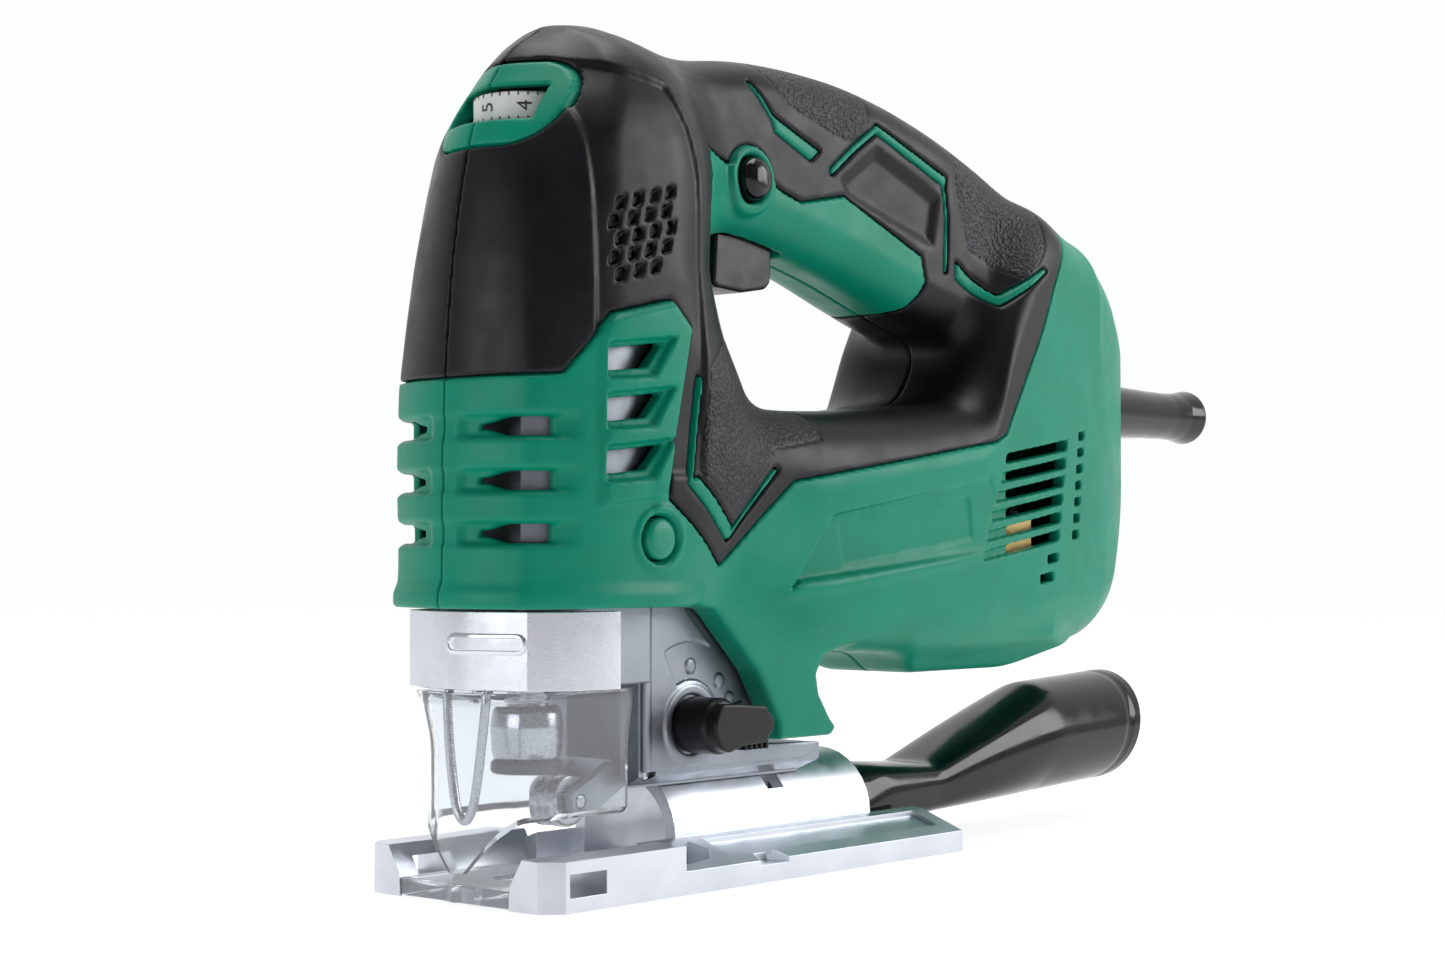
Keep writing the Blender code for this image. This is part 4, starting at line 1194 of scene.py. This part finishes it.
def make_clamp(looks):
    """The plunger rod, the blade holder on its end, and the clamp's sleeve and ring."""
    at = (middle("blade_holder").x, 0)
    steel = looks["steel"]
    bore = 4.95
    sleeve = [(7.2, 32.2), (7.8, 34.0), (8.2, 40), (7.7, 43.4), (6.6, 45.6), (bore, 45.6),
              (bore, 32.2)]
    bm = turned("Z", at, sleeve, loop=True)
    fine("clamp_sleeve", bm, steel, "steel")
    ring = [(7.0, 28.6), (8.0, 29.2), (8.0, 31.3), (7.4, 31.9), (bore, 31.9), (bore, 28.6)]
    bm = turned("Z", at, ring, loop=True)
    fine("clamp_ring", bm, looks["dark"], "dark_steel")
    low, high = reach("plunger_rod")
    rod = [(0.1, low.z), (4.6, low.z), (5.0, low.z + 0.5), (5.0, high.z - 0.5), (4.6, high.z),
           (0.1, high.z)]
    fine("plunger_rod", turned("Z", at, rod), steel, "steel")
    low, high = reach("blade_holder")
    hold = [(4.2, low.z), (4.6, low.z + 0.5), (4.6, high.z), (1.6, high.z), (1.6, low.z)]
    bm = turned("Z", at, hold, 48, loop=True)
    fine("blade_holder", bm, steel, "steel")


def make_roller(looks):
    """The arm, its pin and the grooved wheel that backs the blade."""
    from_cad("roller_arm", looks["case"], "case_alloy", 0.4, 2)
    at = middle("guide_roller")
    wheel = [(6.0, -4.6), (6.4, -4.2), (6.4, -1.2), (5.2, -0.7), (5.2, 0.7), (6.4, 1.2), (6.4, 4.2),
             (6.0, 4.6), (1.66, 4.6), (1.66, -4.6)]
    bm = turned("Y", (at.x, at.z), wheel, 64, loop=True)
    fine("guide_roller", bm, looks["steel"], "steel")
    pin = [(0.1, -7.8), (1.55, -7.8), (1.55, 7.8), (0.1, 7.8)]
    bm = turned("Y", (at.x, at.z), pin, 32)
    fine("roller_pin", bm, looks["steel"], "steel")


CASE_SIDE = [
    (47, 75), (47, 28), (109, 27.6), (114.4, 29.8), (114.4, 31.8), (90.5, 32.6), (89, 37.2),
    (80, 50.8), (63, 67.2), (58, 75),
]
CASE_FACE = 16.7  # how far the raised side face of the gear case stands from the middle plane
CASE_WALL = 15.7  # where that face starts, just inside the plain side of the gear case
DOMES = ((64.8, 53.3, 1.9), (75.6, 49.2, 1.9), (79.6, 44.6, 1.7))  # X, Z and radius


def case_face(side):
    """The cast side face: a window for the knob, and a recessed dial sector with domes."""
    knob = middle("orbit_cam")

    def field(x, y, z):
        flat = outline_distance(CASE_SIDE, x, z)
        away = from_axis(knob, x, z)
        turn = np.degrees(np.arctan2(z - knob.z, x - knob.x))
        in_sector = np.maximum(away - 20.6, 11.2 - away)
        in_sector = np.maximum(in_sector, np.abs(turn - 66) * 0.28 - 14.5)
        collar = step_of(np.abs(away - 8.8) - 1.2, 0.8)
        sunk = 0.75 * step_of(in_sector, 0.5) - 0.45 * collar
        for px, pz, r in DOMES:
            near = np.sqrt((x - px) ** 2 + (z - pz) ** 2)
            sunk = sunk - 0.6 * step_of(near - r, 1.2)
        front = -0.5 * step_of(np.abs(x - 48.2) - 1.2, 0.6)
        face = np.abs(y) - CASE_FACE + sunk + front
        slab = smooth_max(np.maximum(face, CASE_WALL - np.abs(y)), flat, 0.5)
        return np.maximum(slab, 7.4 - away) if side < 0 else slab

    return field


def make_trigger_spring(looks):
    """The return spring, with its edges rounded, on a mesh of its own."""
    spring = from_cad("trigger_spring", looks["steel"], "steel", 0.05, 1)
    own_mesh(spring)


def make_case_faces(looks):
    for side, word in SIDES:
        low_y, high_y = one_side(side, 15.4, 18.2)
        low, high = (45, low_y, 26), (116, high_y, 77)
        mesh = net_mesh(f"case_face_{word}", case_face(side), low, high, CASE_CELL)
        finish_piece(mesh, "housing", looks["case"], "case_alloy", ())


def make_gear_case(looks):
    make_case_faces(looks)
    make_trigger_spring(looks)
    from_cad("gear_case", looks["case"], "case_alloy", 0.7, 3)
    from_cad("clamp_shroud", looks["case"], "case_alloy", 0.6, 3)
    for word in ("lower", "upper"):
        from_cad(f"plunger_bushing_{word}", looks["bronze"], "bronze", 0.3, 2)


# ---------------------------------------------------------------- controls


def make_knob(looks):
    """Orbital knob: a hub with a finger plate whose tip is serrated."""
    at = middle("orbit_cam")
    low, high = reach("orbit_knob")
    hub = [(0.1, high.y), (6.2, high.y), (7.0, high.y - 0.8), (7.0, low.y + 4.2), (6.0, low.y + 3.0),
           (0.1, low.y + 2.6)]
    piece("orbit_hub", turned("Y", (at.x, at.z), hub), "knob", looks["black"], "black_plastic")
    tip = high.x
    outline = arc(at.x, at.z, 6.3, 115, 150, 20)
    outline += [(at.x + 4, at.z - 4.9), (tip - 3, at.z - 4.6)]
    outline += arc(tip - 3.2, at.z, 3.2, -70, 140, 12)
    outline += [(tip - 3, at.z + 4.6), (at.x + 4, at.z + 5.4)]
    bm = prism("Y", outline, low.y, low.y + 4.6)
    finger = piece("orbit_finger", bm, "knob", looks["black"], "black_plastic", ["orbit_knob"])
    bevelled(finger, 1.1, 4)
    for i in range(5):
        x, under, over = at.x + 5.5 + 2.0 * i, at.z - 6.1, at.z - 3.4
        corners = [(x, under), (x + 1.0, under), (x + 1.0, over), (x, over)]
        bar = prism("Y", corners, low.y + 0.8, low.y + 4.4)
        bevelled(piece(f"finger_grip_{i}", bar, "knob", looks["black"], "black_plastic"), 0.3, 2)


DIAL_TICKS, FIRST_TICK, TICK_STEP = 34, 186, 10.5  # a count, and two angles in degrees


def make_dial(looks):
    """White thumb wheel with tick notches and numbers round its rim."""
    low, high = reach("speed_dial")
    r = (high.x - low.x) / 2
    rim = [(0.1, low.z), (r - 0.8, low.z), (r, low.z + 0.6), (r, high.z - 0.6), (r - 0.8, high.z),
           (0.1, high.z)]
    bm = turned("Z", (DIAL.x, DIAL.y), rim, 120)
    piece("dial_wheel", bm, "dial", looks["white"], "white_dial", ["speed_dial"])
    for i, digit in enumerate("54321"):
        dial_number(digit, 180.0 + 45.0 * i, r, looks)
    for i in range(DIAL_TICKS):
        angle = radians(FIRST_TICK + TICK_STEP * i)
        out = Vector((cos(angle), sin(angle)))
        for z in (low.z + 0.7, high.z - 0.7):
            dial_tick(f"dial_tick_{i}_{int(z)}", out, r, z, looks)


def dial_tick(name, out, r, z, looks):
    side = Vector((-out.y, out.x))
    centre = Vector((DIAL.x, DIAL.y)) + out * (r + 0.02)
    corners = []
    for a, b in ((-0.16, -0.1), (0.16, -0.1), (0.16, 0.08), (-0.16, 0.08)):
        point = centre + side * a + out * b
        corners.append((point.x, point.y))
    bm = prism("Z", corners, z - 0.45, z + 0.45)
    piece(name, bm, "dial", looks["ink"], "white_dial")


def dial_number(digit, angle, r, looks):
    """A number wrapped on the rim, read with the tool lying on its side."""
    curve = bpy.data.curves.new(f"number_{digit}", "FONT")
    curve.body = digit
    curve.size = 5.2
    curve.align_x = "CENTER"
    curve.align_y = "CENTER"
    text = object_of("number_text", curve)
    bpy.context.view_layer.update()
    graph = bpy.context.evaluated_depsgraph_get()
    mesh = bpy.data.meshes.new_from_object(text.evaluated_get(graph))
    bpy.data.objects.remove(text)
    bm = bmesh.new()
    bm.from_mesh(mesh)
    bmesh.ops.subdivide_edges(bm, edges=bm.edges, cuts=2)
    face = bmesh.ops.extrude_face_region(bm, geom=bm.faces[:])
    top = {v for v in face["geom"] if isinstance(v, bmesh.types.BMVert)}
    for vert in bm.verts:
        lift = 0.10 if vert in top else -0.10
        along, up = -vert.co.y, vert.co.x
        turn = radians(angle) + along / r
        radius = r + lift
        vert.co = Vector((DIAL.x + radius * cos(turn), DIAL.y + radius * sin(turn), DIAL.z + up))
    piece(f"dial_number_{digit}", bm, "dial", looks["ink"], "white_dial", (), 30)


def make_buttons(looks):
    """The lock button, the trigger and the plug in the side."""
    low, high = reach("lock_button")
    r = (high.x - low.x) / 2
    dome = [(0.1, low.y), (r * 0.45, low.y + 0.25), (r * 0.75, low.y + 0.9), (r * 0.93, low.y + 2.0),
            (r, low.y + 3.4), (r, high.y), (0.1, high.y)]
    bm = turned("Y", (LOCK.x, LOCK.z), dome, 96)
    fine("lock_button", bm, looks["gloss"], "gloss_black", 50)
    from_cad("trigger", looks["black"], "black_plastic", 1.1, 4)
    low, high = reach("side_plug")
    r = (high.x - low.x) / 2
    cap = [(0.1, low.y), (r * 0.5, low.y + 0.05), (r * 0.8, low.y + 0.3), (r * 0.96, low.y + 0.9),
           (r, low.y + 1.6), (r, high.y), (0.1, high.y)]
    bm = turned("Y", (PLUG.x, PLUG.z), cap)
    look = looks["green_plain"]
    fine("side_plug", bm, look, "green_shell", 50)


# ---------------------------------------------------------------- tail


def make_tail(looks):
    """The bend guard of the cord."""
    at = middle("cord_guard")
    low, high = reach("cord_guard")
    end = high.x
    guard = [(10.4, low.x), (10.4, low.x + 3.2), (8.7, low.x + 3.6), (8.9, 276), (8.4, 290), (7.8, 306),
             (7.6, 318), (7.9, 326), (8.9, end - 1.2), (8.7, end - 0.3), (7.4, end), (5.4, end - 0.2),
             (4.4, end - 3), (4.2, low.x)]
    bm = turned("X", (at.y, at.z), guard, 96, loop=True)
    fine("cord_guard", bm, looks["gloss"], "black_plastic", 50)


def nozzle_ring(x, z, half_y, up, down, tilt, power, count=96):
    """A ring across X: an ellipse at power 2, and squarer above that."""
    points = []
    for i in range(count):
        a = 2 * pi * i / count
        across = abs(cos(a)) ** (2 / power) * (1 if cos(a) >= 0 else -1)
        rise = abs(sin(a)) ** (2 / power) * (up if sin(a) >= 0 else -down)
        points.append((x + tilt * rise, half_y * across, z + rise))
    return points


# station, middle height, half width, height above and below the middle, tilt and squareness
NOZZLE = (
    (126, 11, 13.2, 13.2, 6.0, 0.0, 2.0), (142, 11, 13.2, 12.8, 6.0, 0.0, 2.0),
    (152, 11.4, 13.2, 11.6, 6.0, 0.0, 3.2), (176, 13, 13.0, 8.5, 5.5, 0.05, 3.6),
    (232, 25.2, 16.4, 16.8, 16.8, 0.16, 2.0), (277, 27.2, 16.8, 17.0, 17.0, 0.2, 2.0),
)


def make_nozzle(looks):
    """Flat neck in the barrel, a widening cone, and a round mouth with a bead."""
    curves = stations(NOZZLE, 3.0)
    start, end, wall, steps = NOZZLE[0][0], NOZZLE[-1][0], 2.2, 100
    outer, inner = [], []
    for i in range(steps + 1):
        x = start + (end - start) * i / steps
        z, half, up, down, tilt, power = (float(curve(x)) for curve in curves)
        groove = 0.45 * (269.5 < x < 271.5)
        for rings, less in ((outer, groove), (inner, wall)):
            rings.append(nozzle_ring(x, z, half - less, up - less, down - less, tilt, power))
    bm = ring_faces(bmesh.new(), outer + inner[::-1], loop=True)
    obj = fine("dust_nozzle", bm, looks["gloss"], "gloss_black", 40)
    bevelled(obj, 0.4, 3, 40)


# ---------------------------------------------------------------- inner pieces

INNER = {
    "dark": ("dark_steel", ["stator", "armature_core", "counterweight"]),
    "steel": ("steel", ["armature_shaft", "bearing_front", "bearing_rear", "gear_shaft", "drive_gear",
                        "crank_pin", "yoke", "lever_pin", "roller_arm_pin", "orbit_cam",
                        "base_clamp_bolt", "base_clamp_shoe",
                        *[f"shell_screw_{i}" for i in range(1, 7)]]),
    "copper": ("copper", ["commutator"]),
    "brass": ("brass", ["brush_holder_left", "brush_holder_right"]),
    "gray": ("gray_plastic", ["fan", "fan_baffle"]),
    "board": ("gray_plastic", ["speed_board"]),
    "black": ("black_plastic", ["switch_body", "cord_clamp"]),
    "ink": ("carbon", ["brush_left", "brush_right"]),
}


def dress_inner(looks):
    """Inner CAD pieces keep their shape and take the finished materials."""
    for look, (slot, nodes) in INNER.items():
        for node in nodes:
            obj = frame["nodes"][node]
            obj.data.materials.clear()
            obj.data.materials.append(looks[look])


# ---------------------------------------------------------------- stage

CAMERA_AT = (-449.6, -416.5, 81.6)
CAMERA_YAW, CAMERA_PITCH = 41.0, 1.67
LENS = 60.04


def make_stage():
    floor_look, _, shader = shader_of("studio_floor", (0.42, 0.42, 0.43), 0.6)
    set_inputs(shader, {"Emission Color": (1.0, 1.0, 1.0, 1), "Emission Strength": 0.78,
                        "Specular IOR Level": 0.0})
    bm = bmesh.new()
    bmesh.ops.create_grid(bm, x_segments=1, y_segments=1, size=6.0)
    mesh = mesh_of("floor", bm)
    mesh.materials.append(floor_look)
    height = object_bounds()[0][2] - 0.0005
    floor = object_of("floor", mesh)
    floor.location.z = height
    floor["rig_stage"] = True

    make_world()
    bpy.context.scene.view_settings.view_transform = "Standard"
    soft_light("front_box", (-0.90, 0.16, 0.28), (0.0, 0, 0.13), 0.36, 1.7)
    soft_light("side_box", (0.75, -0.75, 0.50), (0.05, 0, 0.12), 0.60, 6.5)
    soft_light("top_box", (0.10, 0.05, 1.10), (0.05, 0, 0.15), 0.70, 8.0)


def make_world():
    """A studio: a white backdrop towards +X +Y, and a dim room on the other side."""
    world = bpy.data.worlds.new("studio")
    world.use_nodes = True
    tree = world.node_tree
    place = tree.nodes.new("ShaderNodeTexCoord")
    bright_way = {1: (0.755, 0.656, 0.0)}
    across = new_node(tree, "ShaderNodeVectorMath", bright_way, operation="DOT_PRODUCT")
    limits = {"From Min": -0.35, "From Max": 0.75, "To Min": 0.19, "To Max": 1.0}
    share = new_node(tree, "ShaderNodeMapRange", limits, interpolation_type="SMOOTHSTEP")
    background = tree.nodes["Background"]
    background.inputs["Color"].default_value = (0.98, 0.99, 1.0, 1)
    tree.links.new(place.outputs["Generated"], across.inputs[0])
    tree.links.new(across.outputs["Value"], share.inputs["Value"])
    seen = tree.nodes.new("ShaderNodeLightPath")  # the backdrop itself is white from every side
    brighter = new_node(tree, "ShaderNodeMath", {}, operation="MAXIMUM")
    tree.links.new(share.outputs["Result"], brighter.inputs[0])
    tree.links.new(seen.outputs["Is Camera Ray"], brighter.inputs[1])
    tree.links.new(brighter.outputs["Value"], background.inputs["Strength"])
    bpy.context.scene.world = world


def aimed(obj, place, aim):
    obj.location = place
    obj.rotation_euler = aim.to_track_quat("-Z", "Y").to_euler()


def soft_light(name, place, target, size, power):
    light = bpy.data.lights.new(name, "AREA")
    light.shape = "RECTANGLE"
    light.size = size
    light.size_y = size
    light.energy = power
    aimed(object_of(name, light), place, Vector(target) - Vector(place))


def make_camera():
    camera = bpy.data.cameras.new("camera")
    camera.lens = LENS
    camera.sensor_width = 36.0
    camera.clip_start = 0.01
    obj = object_of("camera", camera)
    yaw, pitch = radians(CAMERA_YAW), radians(CAMERA_PITCH)
    aim = Vector((cos(yaw) * cos(pitch), sin(yaw) * cos(pitch), sin(pitch)))
    aimed(obj, Vector(CAMERA_AT) * MM, aim)
    bpy.context.scene.camera = obj


def write_sizes():
    as_lists = lambda bounds: [[float(v) for v in corner] for corner in bounds]
    sizes = {"cad": as_lists(cad_bounds), "visual": as_lists(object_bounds())}


def main():
    looks = make_looks()
    make_shells(looks)
    make_base(looks)
    make_cover(looks)
    make_wire(looks)
    make_lever(looks)
    make_clamp(looks)
    make_roller(looks)
    make_gear_case(looks)
    make_knob(looks)
    make_dial(looks)
    make_buttons(looks)
    make_tail(looks)
    make_nozzle(looks)
    dress_inner(looks)
    make_stage()
    make_camera()


main()
write_sizes()
